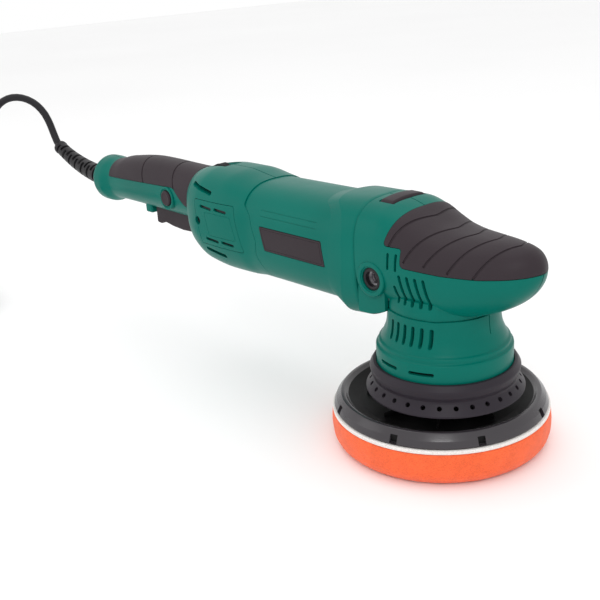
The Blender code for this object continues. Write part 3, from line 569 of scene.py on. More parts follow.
def swung(obj, start, i):
    """Turns the i-th of the plate's notches or ribs into its place round the pad's axis."""
    turn = Matrix.Rotation(math.radians(start + 360 / NOTCHES * i), 4, "Z")
    obj.data.transform(Matrix.Translation(PAD_AT * MM) @ turn)
    return obj


def build_plate():
    floor = PLATE_BOTTOM + 3.2
    outline = [(6.6, 46.0), (16.0, 46.0), (18.0, floor), (56.0, floor), (65.5, 35.6), (67.8, 37.8),
        (70.2, 37.6), (73.8, 33.4), (PLATE_R, PLATE_BOTTOM + 1.2), (PLATE_R - 0.4, PLATE_BOTTOM),
        (8.4, PLATE_BOTTOM), (8.4, 33.0), (6.6, 33.0)]
    radii = [0, 1.0, 2.5, 4.0, 2.0, 1.6, 1.6, 3.0, 0.5, 0.3, 0, 0, 0]
    plate = turned("backing_plate_rim", rounded(outline, radii, 6), PAD_AT, steps=192)
    notches = []
    for i in range(NOTCHES):
        notch = block("notch", (72.2, -2.6, 28.9), (80.0, 2.6, 34.6), 0.4, 2)
        notches.append(swung(notch, NOTCH_TURN, i))
    cutter = merged("notches", notches)
    carve(plate, less(cutter))
    drop(cutter)
    keep(plate, PLATE, "backing_plate", body="pad")
    # The bowl's inside faces take the near-black material: painted shade for the shadow in the bowl.
    plate.data.materials.append(BOWL_SHADE)
    for face in plate.data.polygons:
        centre = face.center / MM
        r = math.hypot(centre.x - PAD_X, centre.y - PAD_Y)
        if r < 62.0 and centre.z > PLATE_BOTTOM + 0.5:
            face.material_index = 1
    # Near-black blocks set in the notches paint the shade inside them; the bowl ribs take the same painted
    # shade.
    pins = []
    for i in range(NOTCHES):
        plug = block("notch_shade_plug", (68.5, -3.2, 29.2), (72.7, 3.2, 34.4), 0.3, 1)
        rib = block("bowl_rib", (20.0, -0.9, floor - 0.4), (52.0, 0.9, floor + 3.0), 0.6, 2)
        pins += [swung(plug, NOTCH_TURN, i), swung(rib, RIB_TURN, i)]
    ribs = merged("bowl_ribs_and_notch_shade", pins)
    keep(ribs, BOWL_SHADE, body="pad", slot="plate_plastic")


def build_shroud():
    outline = [(47.3, 65.8), (49.4, 65.8), (52.0, 61.6), (51.2, 57.2), (49.3, 53.4), (54.9, 46.4),
        (54.9, 44.9), (52.6, 45.0), (46.6, 52.4), (44.6, 57.0), (44.6, 61.6), (47.3, 61.6)]
    radii = [0.5, 1.2, 2.4, 2.0, 2.4, 0.8, 0.6, 1.0, 2.0, 2.0, 0.5, 0.3]
    shroud = turned("shroud_skirt", rounded(outline, radii, 5), steps=180)
    holes = []
    for i in range(SHROUD_HOLES):
        hole = rod("hole", 1.7, 6.0, -6.0, steps=14)
        turn = Matrix.Rotation(2 * math.pi * (i + 0.5) / SHROUD_HOLES, 4, "Z")
        place = Matrix.Translation(Vector((51.6, 0, 50.6)) * MM) @ Matrix.Rotation(math.radians(50), 4, "Y")
        hole.data.transform(turn @ place)
        holes.append(hole)
    cutter = merged("holes", holes)
    carve(shroud, less(cutter))
    drop(cutter)
    keep(shroud, SHROUD, "shroud")


# Neck.

NECK_TOP = 105.2
NECK_STEPS = 224
SKIRT_BORE = 30.4
NECK_R = smooth_through(
    [62.0, 77.0, 78.0, 78.9, 79.6, 81.2, 82.0, 82.8, 86.0, 89.0, 92.5, 96.0, 100.0, 105.2],
    [46.9, 46.9, 46.7, 45.3, 45.0, 45.0, 44.6, 43.4, 41.8, 40.5, 39.3, 38.7, 38.3, 38.0])
COLUMN_X, COLUMN_Y, COLUMN_BASE = 22.8, 33.6, 85.6
COLUMN_POWER, BLEND_POWER = 9, 26


def neck_radius(angle, z):
    """The round skirt blended into the squarer column that rises to the head."""
    round_part = NECK_R(z)
    c, s = abs(math.cos(angle)), abs(math.sin(angle))
    wide = (abs(c / COLUMN_X) ** COLUMN_POWER + abs(s / COLUMN_Y) ** COLUMN_POWER) ** (-1 / COLUMN_POWER)
    wide *= eased((z - COLUMN_BASE + 1.2) / 1.6)
    k = BLEND_POWER
    return (round_part ** k + wide ** k) ** (1 / k) if wide > 1 else round_part


def neck_row(z, radius):
    """A level loop at z; radius is a function of the angle."""
    angles = (2 * math.pi * k / NECK_STEPS for k in range(NECK_STEPS))
    return [Vector((math.cos(a), math.sin(a), 0)) * radius(a) + Vector((0, 0, z)) for a in angles]


def build_neck():
    outer = ([62.0, 62.5] + stations_at(64.0, 76.0, 2.0) + stations_at(77.0, 84.0, 0.3)
        + stations_at(84.6, 90.0, 0.6) + stations_at(91.0, 104.4, 1.2) + [105.0, NECK_TOP])
    rows = []
    for z in outer:
        shrink = 0.5 if z in (62.0, NECK_TOP) else 0.0
        rows.append(neck_row(z, lambda a: neck_radius(a, z) - shrink))
    inner_r = smooth_through([62.0, 76.0, 80.0, 88.0, 105.2], [44.0, 44.0, 41.6, 36.6, 34.9])
    for z in (NECK_TOP, 96.0, 88.0, 84.0, 80.0, 76.0, 70.0, 62.0):
        rows.append(neck_row(z, lambda a: inner_r(z)))
    neck = grid_solid("neck_moulding", rows, wrap=True)
    cutters = []
    for i in range(6):
        x = -13.4 + 6.4 * i
        outline = capsule(x, 88.4, x, 99.4, 2.6)
        cutters.append(prism("slot", outline, -60, -25))
        cutters.append(prism("slot", outline, 25, 60))
    for middle in (-102.4, -69.1, 77.6, 110.9):
        turn = Matrix.Rotation(math.radians(middle), 4, "Z")
        slot = block("slot", (40.0, -8.75, 70.6), (50.0, 8.75, 73.0), 0.9, 3)
        slot.data.transform(turn)
        cutters.append(slot)
    cutters.append(block("front_rib_gap", (36.6, -0.35, 92.0), (60.0, 0.35, 108.0)))
    cutter = merged("neck_slots", cutters)
    carve(neck, less(cutter))
    drop(cutter)
    keep(neck, GREEN, "neck_housing", degrees=40)


# Head and nose grip.

def region(name, g):
    """The soft grip's outline on the head: stepped at the back, low along the sides, up at the tip."""
    outline = [(-20.0 - g, 150.6 - g), (-5.6 - g, 150.6 - g), (-5.6 - g, 138.2 - g), (24.0, 137.4 - g),
        (48.0, 138.2 - g), (66.0, 140.0 - g), (90.0, 142.6 - g), (90.0, 196.0), (-14.0 - g, 196.0),
        (-14.0 - g, 173.0), (-16.0 - g, 166.0)]
    radii = [3.0, 2.2, 3.5, 8.0, 8.0, 8.0, 0, 0, 0, 2.5, 6.0]
    return prism(name, rounded(outline, radii, 5), -60, 60)


HEAD_XS = stations_at(-46.9, 66.0, 1.6) + [
    67.2, 68.4, 69.6, 70.8, 72.0, 73.0, 74.0, 75.0, 75.9, 76.7, 77.3, 77.8, 78.2, 78.4]
HEAD_GROOVES = [(-4.0, -19.0), (14.0, -3.0), (30.0, 12.0), (46.0, 29.0), (63.0, 46.0)]


def head_groove(top_x, side_x, inset):
    """A line over the grip from one side to the other, sweeping back as it comes down."""
    at = (top_x + side_x) / 2
    half, tall, middle, power = HEAD.sizes(at)
    low = math.asin(min(max((140.0 - middle) / tall, -1), 1)) - 0.05
    angles = [math.pi / 2 + (math.pi / 2 - low) * (k / 24 - 1) for k in range(49)]
    section = [HEAD.point(at, a, inset) for a in angles]
    run = [0.0]
    for before, after in zip(section, section[1:]):
        run.append(run[-1] + (after - before).length)
    points = []
    for angle, along in zip(angles, run):
        share = abs(2 * along / run[-1] - 1)
        points.append(HEAD.point(top_x + (side_x - top_x) * share ** 1.3, angle, inset))
    return points


def build_nose_grip():
    grip = HEAD.solid("nose_rubber", HEAD_XS, -0.25, 144)
    inside = HEAD.solid("inside", [-49.0] + HEAD_XS[1:-8] + [75.0], GRIP, 96)
    outline = region("region", 0.0)
    grooves = merged("grooves", [tube("groove", head_groove(*pair, -0.2), 0.9) for pair in HEAD_GROOVES])
    carve(grip, only(outline), less(inside), less(grooves))
    drop(inside, outline, grooves)
    keep(grip, RUBBER, "nose_grip")


BOSS_AT = (-31.8, 0, 125.0)
BUMPER_HALF = 16.5


def head_slots(sign, wider=0.0):
    """Two upright vents over five slanted ones, the first of which is short."""
    near, far = sorted((sign * 26.0, sign * 60.0))
    outlines = [capsule(-16.4, 135.6, -15.8, 145.4, 2.0), capsule(-9.8, 135.4, -9.2, 145.6, 2.0)]
    for i in range(5):
        x = -9.0 + 6.3 * i
        top = 131.6 if i else 123.6
        lean = (top - 114.0) * 0.24
        outlines.append(capsule(x, 114.0, x - lean, top, 2.4 + wider))
    return merged("vents", [prism("vent", o, near, far) for o in outlines])


def shade_sheet(name, hull, xs, outline, sign, depth, thick):
    """A thin near-black sheet that follows the wall behind its vents: painted shade inside the vents."""
    sheet = hull.solid(name, xs, depth, 112)
    back = hull.solid("back", xs, depth + thick, 112)
    near, far = sorted((sign * 12.0, sign * 60.0))
    window = prism("window", outline, near, far)
    carve(sheet, only(window), less(back))
    drop(back, window)
    keep(sheet, BLACK)


def apron():
    """The head's lower wall, which meets the top of the neck: round behind, square where the neck is."""
    rows = []
    for z, grow in ((104.2, 0.0), (109.0, 0.0), (112.5, -0.6), (116.0, -2.2), (116.6, -3.4)):
        rows.append(neck_row(z, lambda a: neck_radius(a, NECK_TOP) - 1.1 + grow))
    for z in (116.6, 104.2):
        rows.append(neck_row(z, lambda a: SKIRT_BORE))
    return grid_solid("skirt", rows, wrap=True)


def cheek_wall(sign):
    """The side wall behind the neck, reaching down past the gear case."""
    near, far = sorted((sign * 30.9, sign * 34.4))
    outline = rounded([(-46.9, 117.0), (-46.9, 98.2), (-36.0, 98.6), (-22.0, 103.0), (-22.0, 117.0)],
        [0, 1.5, 4.0, 2.0, 0], 4)
    wall = prism("cheek", outline, near, far)
    clearance = rod("clearance", 38.5, NECK_TOP + 0.5, 80.0, steps=96)
    carve(wall, less(clearance))
    drop(clearance)
    return wall


def build_head():
    recess = region("recess", 0.45)
    core = HEAD.solid("core", [-52.0] + HEAD_XS[1:-6] + [75.4], GRIP + 0.3, 96)
    carve(recess, less(core))
    drop(core)
    cavity = HEAD.solid("cavity", [-52.0] + stations_at(-44.0, 68.0, 4.0), GRIP + WALL, 96)
    floor = block("floor", (-70, -60, 60), (39.0, 60, 105.5))
    opening = rod("opening", 29.6, 129.0, 90.0)
    rear = block("rear", (-70, -29.6, 90), (-10.7, 29.6, 129.7))
    seat = block("seat", (-41.4, -16.9, 171.4), (-27.6, 16.9, 190.0), 1.0, 2)
    joint = tube("joint", HEAD.loop(-46.9), 0.5, closed=True)
    for side, sign in (("right", -1), ("left", 1)):
        shell = HEAD.solid("head_moulding_" + side, HEAD_XS, 0.0, 144)
        profile = rounded([(0, sign * 24.0), (12.6, sign * 24.0), (12.2, sign * 37.9), (9.2, sign * 37.9),
            (8.9, sign * 36.8), (0, sign * 36.8)], [0, 0, 1.1, 0.5, 0.3, 0], 4)
        boss = turned("boss", profile, BOSS_AT, "Y", 72)
        socket = turned("socket", [(0, sign * 12.0), (6.6, sign * 12.0), (6.6, sign * 35.0),
            (8.3, sign * 35.4), (8.3, sign * 60.0), (0, sign * 60.0)], BOSS_AT, "Y", 64)
        away = block("away", (-90, -SEAM if sign < 0 else -90, 60), (120, 90 if sign < 0 else SEAM, 220))
        vents = head_slots(sign)
        wide_vents = head_slots(sign, 0.2)
        cheek = cheek_wall(sign)
        skirt = apron()
        carve(skirt, less(away), less(rear), less(floor), less(wide_vents))
        carve(shell, less(recess), less(cavity), less(floor), less(opening), less(rear), less(seat),
            less(away), less(joint), less(vents), plus(skirt), plus(cheek), plus(boss), less(socket))
        drop(boss, socket, away, vents, wide_vents, cheek, skirt)
        # A near-black sheet behind the head vents: painted shade inside them.
        shade_sheet("head_vent_shade_" + side, HEAD, stations_at(-24.0, 24.0, 4.0),
            [(-20.0, 109.0), (20.0, 109.0), (20.0, 133.0), (-4.0, 134.0), (-5.0, 148.0), (-20.0, 148.0)],
            sign, GRIP + WALL + 0.1, 0.5)
        keep(shell, GREEN, "head_shell_" + side)
        profile = rounded([(5.4, sign * 30.0), (6.5, sign * 30.0), (7.9, sign * 36.2), (6.4, sign * 36.6),
            (5.4, sign * 36.2)], [0, 0, 0.7, 0.7, 0.4], 3)
        keep(turned("socket_collar_" + side, profile, BOSS_AT, "Y", 64), BLACK)
        thread = [(3.6 if k % 2 else 4.1, sign * (18.0 + 15.0 * k / 14)) for k in range(15)]
        bush = turned("insert_thread_" + side, thread + [(5.3, sign * 33.2), (5.3, sign * 18.0)],
            BOSS_AT, "Y", 48)
        keep(bush, STEEL, "handle_insert_" + side)
    drop(recess, cavity, floor, opening, rear, seat, joint)

    rows = []
    for k in range(25):
        y = BUMPER_HALF * math.sin(math.pi / 2 * (k / 12 - 1))
        drop_z = 1.6 * (y / BUMPER_HALF) ** 2 + 1.8 * max(0.0, (abs(y) - 14.4) / 2.1) ** 2
        profile = [(-41.0, 170.6), (-39.8, 176.0 - drop_z), (-29.4, 175.8 - drop_z), (-28.0, 170.6)]
        rows.append([(x, y, z) for x, z in rounded(profile, [0, 1.5, 1.5, 0], 4)])
    keep(grid_solid("bumper_bar", rows), RUBBER, "top_bumper")


# Motor housing.

TAIL_REGION = [(-520.0, 210.0), (-171.0, 210.0), (-168.0, 156.0), (-160.4, 149.4), (-153.6, 130.0),
    (-154.8, 119.0), (-149.0, 104.0), (-146.0, 88.0), (-146.0, 50.0), (-520.0, 50.0)]
SEAM_RADII = [0, 0, 3.0, 3.0, 2.5, 2.5, 6.0, 4.0, 0, 0]
BADGE = [(-148.0, 142.6), (-80.2, 142.6), (-76.8, 124.8), (-143.0, 124.8)]
COLLAR_SHIFT = smooth_through([-90.0, -45.0, -20.0, 0.0, 30.0, 46.0, 62.0, 90.0],
    [0.0, 0.0, 2.0, 4.0, 4.0, 0.0, -12.0, -17.0])


def grown(outline, middle_x, middle_z, step):
    """Moves each corner of an outline away from the middle by the step, along both axes."""
    return [(x + math.copysign(step, x - middle_x), z + math.copysign(step, z - middle_z)) for x, z in outline]


def collar_relief(p, angle):
    """Moves the collar's rear step along X, so that it runs back over the top."""
    level = math.degrees(math.asin(math.sin(angle)))
    if p.x > -62.0:
        share = (p.x + 47.2) / (-62.0 + 47.2)
    elif p.x < -76.0:
        share = (p.x + 118.0) / (-76.0 + 118.0)
    else:
        share = 1.0
    return p + Vector((COLLAR_SHIFT(level) * eased(share), 0, 0))


def side_path(hull, outline, sign, inset=0.0, step=1.5, closed=False):
    """An (x, z) line laid on the hull's side at an even spacing."""
    made = []
    ends = outline + [outline[0]] if closed else outline
    for (x0, z0), (x1, z1) in zip(ends, ends[1:]):
        count = max(1, round(math.hypot(x1 - x0, z1 - z0) / step))
        for k in range(count):
            x, z = x0 + (x1 - x0) * k / count, z0 + (z1 - z0) * k / count
            made.append((x, sign * hull.side(x, z, inset), z))
    if not closed:
        x, z = ends[-1]
        made.append((x, sign * hull.side(x, z, inset), z))
    return made


def build_motor_housing():
    xs = ([-47.2, -47.8, -48.6] + stations_at(-50.0, -62.0, 2.0) + stations_at(-62.5, -76.0, 0.45)
        + stations_at(-77.5, -118.0, 1.5) + stations_at(-120.0, -174.0, 2.0))
    rows = []
    for x in xs:
        inset = {-47.2: 1.0, -47.8: 0.3}.get(x, 0.0)
        rows.append([collar_relief(MOTOR.point(x, a, inset), a)
            for a in (2 * math.pi * (k + 0.5) / 160 for k in range(160))])
    body = grid_solid("motor_moulding", rows)
    bore = MOTOR.solid("bore", [-40.0, -48.0, -58.0, -66.0, -72.0, -76.0, -120.0, -180.0], WALL + 0.4, 96)
    tail = prism("tail", [(x + SEAM, z) for x, z in rounded(TAIL_REGION, SEAM_RADII, 4)], -70, 70)
    pocket = prism("pocket", rounded(grown(BADGE, -112, 133.7, 0.45), 1.2, 3), -60, 0)
    core = MOTOR.solid("core", [-60.0, -70.0, -76.0, -120.0, -170.0], 1.3, 128)
    carve(pocket, less(core))
    lines = []
    for sign in (-1, 1):
        for z in (150.6, 154.8):
            path = side_path(MOTOR, [(-148.0, z), (-86.0, z)], sign, 0.0, 4.0)
            lines.append(tube("line", path, 0.32, sides=6))
    lines = merged("lines", lines)
    carve(body, less(bore), less(tail), less(pocket), less(lines))
    drop(bore, tail, pocket, core, lines)
    keep(body, GREEN, "motor_housing", degrees=28)

    badge = MOTOR.solid("badge_plate", [-60.0, -70.0, -76.0, -120.0, -160.0], -0.15, 160)
    outline = prism("outline", rounded(BADGE, 1.0, 3), -60, 0)
    core = MOTOR.solid("core", [-50.0, -70.0, -76.0, -120.0, -170.0], 1.0, 160)
    inner = [(-146.4, 141.2), (-81.6, 141.2), (-78.8, 126.2), (-142.0, 126.2)]
    line = tube("line", side_path(MOTOR, inner, -1, -0.15, 2.0, True), 0.28, sides=6, closed=True)
    carve(badge, only(outline), less(core), less(line))
    drop(outline, core, line)
    keep(badge, RUBBER, "name_plate", slot="black_plastic")


# Tail, rear handle and controls.

COVER = [(-228.0, 153.6), (-178.4, 153.6), (-168.6, 118.0), (-221.4, 118.0)]
COVER_SCREW = (-224.0, 136.4)
REAR_GROOVES = [(-341.0, -333.0), (-292.0, -284.0)]
TAIL_SLOTS = [(-236.0, 163.6, -209.0, 159.8, 3.4), (-217.0, 113.4, -194.0, 110.6, 3.2)]
COVER_SLOTS = [(-219.0, 148.8, -205.6, 148.0, 2.4), (-200.0, 148.6, -187.0, 147.8, 2.4),
    (-213.6, 123.0, -199.0, 122.2, 2.4), (-193.0, 122.8, -180.4, 122.0, 2.4)]
LOCK_AT = (-297.0, 0, 140.5)
DIAL_X, DIAL_Z = -237.0, 162.5
DIAL_STEPS = 144
REAR_XS = (stations_at(-431.0, -398.0, 1.5) + stations_at(-396.0, -266.0, 3.0)
    + stations_at(-264.0, -222.0, 1.1) + stations_at(-220.0, -140.0, 2.2))


def rear_region(name, g):
    outline = [(-399.0 - g, 147.6 - g), (-287.0 - g, 151.2 - g), (-272.0 - g, 137.0 - g),
        (-259.4 + g, 134.0 - g), (-259.4 + g, 196.0), (-397.0 - g, 196.0)]
    return prism(name, rounded(outline, [2.0, 8.0, 5.0, 0, 0, 3.0], 5), -60, 60)


def rear_groove(top_x, side_x, inset):
    points = []
    for k in range(33):
        share = abs(k / 16 - 1)
        x = top_x + (side_x - top_x) * share ** 1.4
        half, tall, middle, power = REAR.sizes(x)
        low = math.asin(min(max((148.0 - middle) / tall, -1), 1)) - 0.1
        angle = math.pi / 2 + (1 if k > 16 else -1) * (math.pi / 2 - low) * share
        points.append(REAR.point(x, angle, inset))
    return points


def build_rear_grip():
    grip = REAR.solid("rear_rubber", REAR_XS[:-8], -0.3, 112)
    inside = REAR.solid("inside", [-433.0] + REAR_XS[1:-8:2] + [-150.0], GRIP, 80)
    outline = rear_region("outline", 0.0)
    grooves = merged("grooves", [tube("groove", rear_groove(*pair, -0.25), 0.9) for pair in REAR_GROOVES])
    carve(grip, only(outline), less(inside), less(grooves))
    drop(inside, outline, grooves)
    keep(grip, RUBBER, "rear_grip")


def side_slots(name, lines, sign):
    near, far = sorted((sign * 20.0, sign * 60.0))
    return merged(name, [prism("slot", capsule(*line), near, far) for line in lines])


def build_rear_shells():
    recess = rear_region("recess", 0.45)
    core = REAR.solid("core", [-433.0] + REAR_XS[1::2], GRIP + 0.3, 80)
    carve(recess, less(core))
    cover_pocket = prism("cover_pocket", rounded(grown(COVER, -199, 135.8, 0.4), 2.2, 4), -60, 60)
    cover_core = REAR.solid("cover_core", stations_at(-260.0, -150.0, 4.0), 2.1, 128)
    carve(cover_pocket, less(cover_core))
    drop(core, cover_core)
    cavity = REAR.solid("cavity", stations_at(-420.0, -262.0, 6.0) + stations_at(-258.0, -244.0, 2.0)
        + stations_at(-240.0, -141.0, 4.0) + [-136.0], GRIP + WALL, 80)
    trigger_way = block("trigger_way", (-339.4, -9.0, 100), (-255.0, 9.0, 131), 1.2, 2)
    dial_way = block("dial_way", (-251.0, -5.4, 150), (-223.0, 5.4, 190))
    dial_dip = block("dial_dip", (-252.6, -9.0, 171.9), (-221.4, 9.0, 190.0), 1.2, 3)
    boot_way = rod("boot_way", 10.4, -460, -401, (0, 0, 139.2), "X", 48)
    front = prism("front", rounded(TAIL_REGION, SEAM_RADII, 4), -70, 70)
    guard = block("guard", (-350.0, -11.0, 118.2), (-339.6, 11.0, 128.0), 1.8, 4)
    for side, sign in (("right", -1), ("left", 1)):
        shell = REAR.solid("tail_moulding_" + side, REAR_XS, 0.0, 144)
        away = block("away", (-520, -SEAM if sign < 0 else -90, 50), (-100, 90 if sign < 0 else SEAM, 220))
        x, z = COVER_SCREW
        screw_way = rod("screw_way", 3.5, -50, 50, (x, 0, z), "Y", 40)
        steps = [only(front), plus(guard), less(recess), less(cover_pocket), less(cavity), less(away),
            less(trigger_way), less(dial_dip), less(dial_way), less(boot_way)]
        extra = []
        if sign < 0:
            profile = rounded([(0, -15.0), (10.4, -15.0), (10.2, -21.4), (8.4, -21.4), (8.4, -20.6),
                (0, -20.6)], [0, 0, 1.0, 0.4, 0.3, 0], 4)
            ring = turned("lock_ring", profile, LOCK_AT, "Y", 64)
            hole = rod("lock_hole", 7.3, -40, -8, LOCK_AT, "Y", 56)
            steps += [plus(ring), less(hole)]
            extra += [ring, hole]
        slots = side_slots("slots", TAIL_SLOTS, sign)
        steps += [less(slots), less(screw_way)]
        carve(shell, *steps)
        keep(shell, GREEN, "rear_shell_" + side)

        cover = REAR.solid("cover_panel_" + side, stations_at(-236.0, -160.0, 2.0), 0.0, 144)
        outline = prism("outline", rounded(COVER, 2.0, 4), *sorted((0, sign * 60)))
        back = REAR.solid("back", stations_at(-240.0, -156.0, 2.0), 1.8, 144)
        slots2 = side_slots("slots2", COVER_SLOTS, sign)
        inner = rounded([(-214.0, 144.8), (-181.6, 144.8), (-175.6, 126.4), (-209.4, 126.4)], 2.0, 3)
        line = tube("line", side_path(REAR, inner, sign, 0.0, 2.0, True), 0.3, sides=6, closed=True)
        carve(cover, only(outline), less(back), less(slots2), less(screw_way), less(line))
        keep(cover, GREEN, "brush_cover_" + side)
        drop(away, slots, outline, back, slots2, screw_way, line, *extra)

        # A near-black sheet behind the cover slots: painted shade inside them.
        window = rounded([(-226.6, 152.2), (-179.6, 152.2), (-170.6, 119.4), (-220.0, 119.4)], 1.5, 3)
        shade_sheet("cover_vent_shade_" + side, REAR, stations_at(-238.0, -158.0, 4.0), window, sign, 1.84, 0.2)
        # Near-black sheets behind the tail slots: painted shade inside them.
        for x0, x1, z0, z1 in ((-240.0, -205.0, 156.0, 168.0), (-221.0, -190.0, 106.0, 117.0)):
            shade_sheet("tail_vent_shade_" + side, REAR, stations_at(-244.0, -184.0, 4.0),
                [(x0, z0), (x1, z0), (x1, z1), (x0, z1)], sign, GRIP + WALL + 0.1, 0.5)

        cup = sign * 37.6
        profile = rounded([(0.0, cup - sign * 1.6), (3.1, cup - sign * 1.6), (3.1, cup),
            (0.0, cup + sign * 0.2)], [0, 0, 0.6, 0], 3)
        head = turned("cover_screw_head_" + side, profile, (x, 0, z), "Y", 40)
        low, high = sorted((cup - sign * 1.0, cup + sign * 2))
        bar = block("bar", (x - 2.0, low, z - 0.45), (x + 2.0, high, z + 0.45))
        post = block("post", (x - 0.45, low, z - 2.0), (x + 0.45, high, z + 2.0))
        carve(head, less(bar), less(post))
        drop(bar, post)
        keep(head, BLACK, "cover_screw_" + side, slot="steel")
    drop(recess, cover_pocket, cavity, trigger_way, dial_way, dial_dip, boot_way, front, guard)


def build_controls():
    outline = [(-337.0, 109.6), (-331.0, 109.0), (-323.0, 111.4), (-312.0, 109.4), (-296.0, 108.2),
        (-282.0, 108.8), (-268.0, 110.8), (-262.6, 118.0), (-262.6, 126.4), (-300.0, 126.0), (-336.6, 124.6)]
    radii = [2.0, 3.0, 6.0, 6.0, 8.0, 8.0, 5.0, 4.0, 2.0, 0, 2.0]
    paddle = prism("trigger_paddle", rounded(outline, radii, 5), -8.2, 8.2)
    bevel = paddle.modifiers.new("bevel", "BEVEL")
    bevel.width = 1.8 * MM
    bevel.segments = 4
    bevel.limit_method = "ANGLE"
    bevel.angle_limit = math.radians(60)
    pin = rod("pin", 1.9, -20, 20, (-266.0, 0, 125.0), "Y", 32)
    ribs = merged("ribs", [block("rib", (x, -9.0, 105.0), (x + 0.9, 9.0, 108.3))
        for x in (-316.0, -312.0, -308.0, -304.0, -300.0)])
    carve(paddle, less(pin), less(ribs))
    drop(pin, ribs)
    keep(paddle, RUBBER, "trigger", body="trigger", slot="black_plastic")

    cap = turned("lock_cap", rounded([(0, -12.6), (6.8, -12.6), (6.8, -22.0), (5.4, -22.6), (3.4, -22.2),
        (0, -22.1)], [0, 0, 0.9, 0.6, 0.6, 0], 3), LOCK_AT, "Y", 56)
    keep(cap, RUBBER, "lock_button", body="lock_button", slot="black_plastic")

    rows = []
    for y in (-7.5, -4.2, -3.9, 3.9, 4.2, 7.5):
        row, stub = [], []
        for k in range(DIAL_STEPS):
            a = 2 * math.pi * k / DIAL_STEPS
            wheel = 12.1 - (0.0 if k % 4 < 2 else 0.5) - (0.4 if abs(y) > 4 else 0.0)
            for line, r in ((row, 2.0 if abs(y) > 5 else wheel), (stub, 2.0)):
                line.append((DIAL_X + r * math.cos(a), y, DIAL_Z + r * math.sin(a)))
        rows += {-4.2: [stub, row], 4.2: [row, stub]}.get(y, [row])
    dial = grid_solid("dial_wheel", rows)
    keep(dial, BLACK, "speed_dial", body="speed_dial")
    marks = []
    for k in range(6):
        low, high = (DIAL_X - 0.55, -2.6, DIAL_Z + 11.4), (DIAL_X + 0.55, 2.6, DIAL_Z + 12.2)
        mark = block("mark", low, high, 0.2, 1)
        turn = Matrix.Rotation(math.radians(-8 - 48 * k), 4, "Y")
        there = Matrix.Translation(Vector((DIAL_X, 0, DIAL_Z)) * MM)
        mark.data.transform(there @ turn @ there.inverted())
        marks.append(mark)
    keep(merged("dial_marks", marks), LOOP, body="speed_dial", slot="black_plastic")


# Boot, cord, coil and plug.

CORD_D = 7.5
BOOT_ROUTE = [(-423.0, 0.0, 139.2), (-436.0, 0.0, 139.2), (-450.0, 0.0, 140.0), (-465.0, 0.0, 142.0),
    (-480.0, 0.0, 145.0), (-495.0, 0.0, 149.0), (-510.0, 0.0, 154.2), (-526.0, 0.0, 161.0)]
CORD_ROUTE = [(-527.6, 0.0, 161.8), (-531.8, 0.0, 167.0), (-535.6, -0.3, 175.0), (-539.0, -1.4, 185.6),
    (-543.6, -4.0, 196.6), (-551.0, -9.6, 206.6), (-562.0, -17.6, 212.4), (-575.0, -26.4, 212.0),
    (-587.0, -34.8, 204.0), (-596.4, -41.4, 188.4), (-603.4, -47.4, 165.0), (-608.6, -52.6, 138.0),
    (-612.0, -56.8, 108.0), (-615.8, -61.6, 78.0), (-621.0, -67.4, 50.0), (-629.0, -75.4, 26.0),
    (-641.0, -87.0, 9.6), (-650.6, -102.0, 4.2), (-653.4, -119.0, 4.2)]
COIL_X, COIL_Y = -590.0, -146.0
COIL_R = 42.5
COIL_LOW = 6.2
BUNDLE_HALF = 12.0
TIE_WALL, TIE_HALF = 1.1, 5.0  # the tie's thickness, and half its width
PITCH = 8.0
TURNS = [(1, 0), (0, 0), (-1, 0), (-1, 1), (-1, 2), (0, 2), (0, 1), (1, 1), (1, 2)]  # (radius, layer) cells
PLUG_X, PLUG_Y, PLUG_Z = -543.7, -204.85, 17.6
PLUG_STEPS = 96
PLUG_LEAD = [(-604.0, PLUG_Y + 6.2, 15.6), (-592.0, PLUG_Y + 1.4, 9.6), (-576.0, PLUG_Y, 8.4),
    (-564.0, PLUG_Y, 14.0), (-554.0, PLUG_Y, PLUG_Z - 0.4), (-543.9, PLUG_Y, PLUG_Z)]


def smooth_path(points, spacing):
    """Points at even spacing along a Catmull-Rom curve through the route."""
    route = [Vector(p) for p in points]
    ends = [route[0] * 2 - route[1]] + route + [route[-1] * 2 - route[-2]]
    fine = []
    for a, b, c, d in zip(ends, ends[1:], ends[2:], ends[3:]):
        for k in range(24):
            t = k / 24
            fine.append(0.5 * (2 * b + (c - a) * t + (2 * a - 5 * b + 4 * c - d) * t * t
                + (3 * b - a - 3 * c + d) * t ** 3))
    fine.append(route[-1])
    total = sum((q - p).length for p, q in zip(fine, fine[1:]))
    step = total / round(total / spacing)
    made, travelled = [fine[0]], 0.0
    for p, q in zip(fine, fine[1:]):
        length = (q - p).length
        while travelled + length >= step and length > 0:
            p = p + (q - p) * ((step - travelled) / length)
            made.append(p)
            length = (q - p).length
            travelled = 0.0
        travelled += length
    made[-1] = fine[-1]
    return made


def coil_points():
    """The wound turns, each in its own place in a three by three bundle."""
    start = math.radians(258.0)
    made = []
    steps = 40
    for turn, (column, layer) in enumerate(TURNS):
        after = TURNS[min(turn + 1, len(TURNS) - 1)]
        for k in range(steps):
            share = k / steps
            blend = eased((share - 0.8) / 0.2)
            r = COIL_R + PITCH * (column + (after[0] - column) * blend)
            z = COIL_LOW + PITCH * (layer + (after[1] - layer) * blend)
            wander = 0.5 * math.sin(3.1 * (turn + share) + turn)
            a = start + 2 * math.pi * share
            reach = r + wander * 0.4
            made.append(Vector((COIL_X + reach * math.cos(a), COIL_Y + reach * math.sin(a), z + 0.15 * wander)))
    return made


def cord_line():
    lead = [Vector(p) for p in CORD_ROUTE]
    entry = []
    for k in range(1, 6):
        share = k / 6
        a = math.radians(168.0 + 90.0 * share)
        r = 60.4 + (50.5 - 60.4) * share ** 0.8
        entry.append(Vector((COIL_X + r * math.cos(a), COIL_Y + r * math.sin(a), 4.3 + 1.9 * share)))
    tail = [Vector(p) for p in PLUG_LEAD]
    return smooth_path(lead + entry + coil_points()[::2][:-2] + tail, 6.0)


def length_of(points):
    return sum((q - p).length for p, q in zip(points, points[1:]))


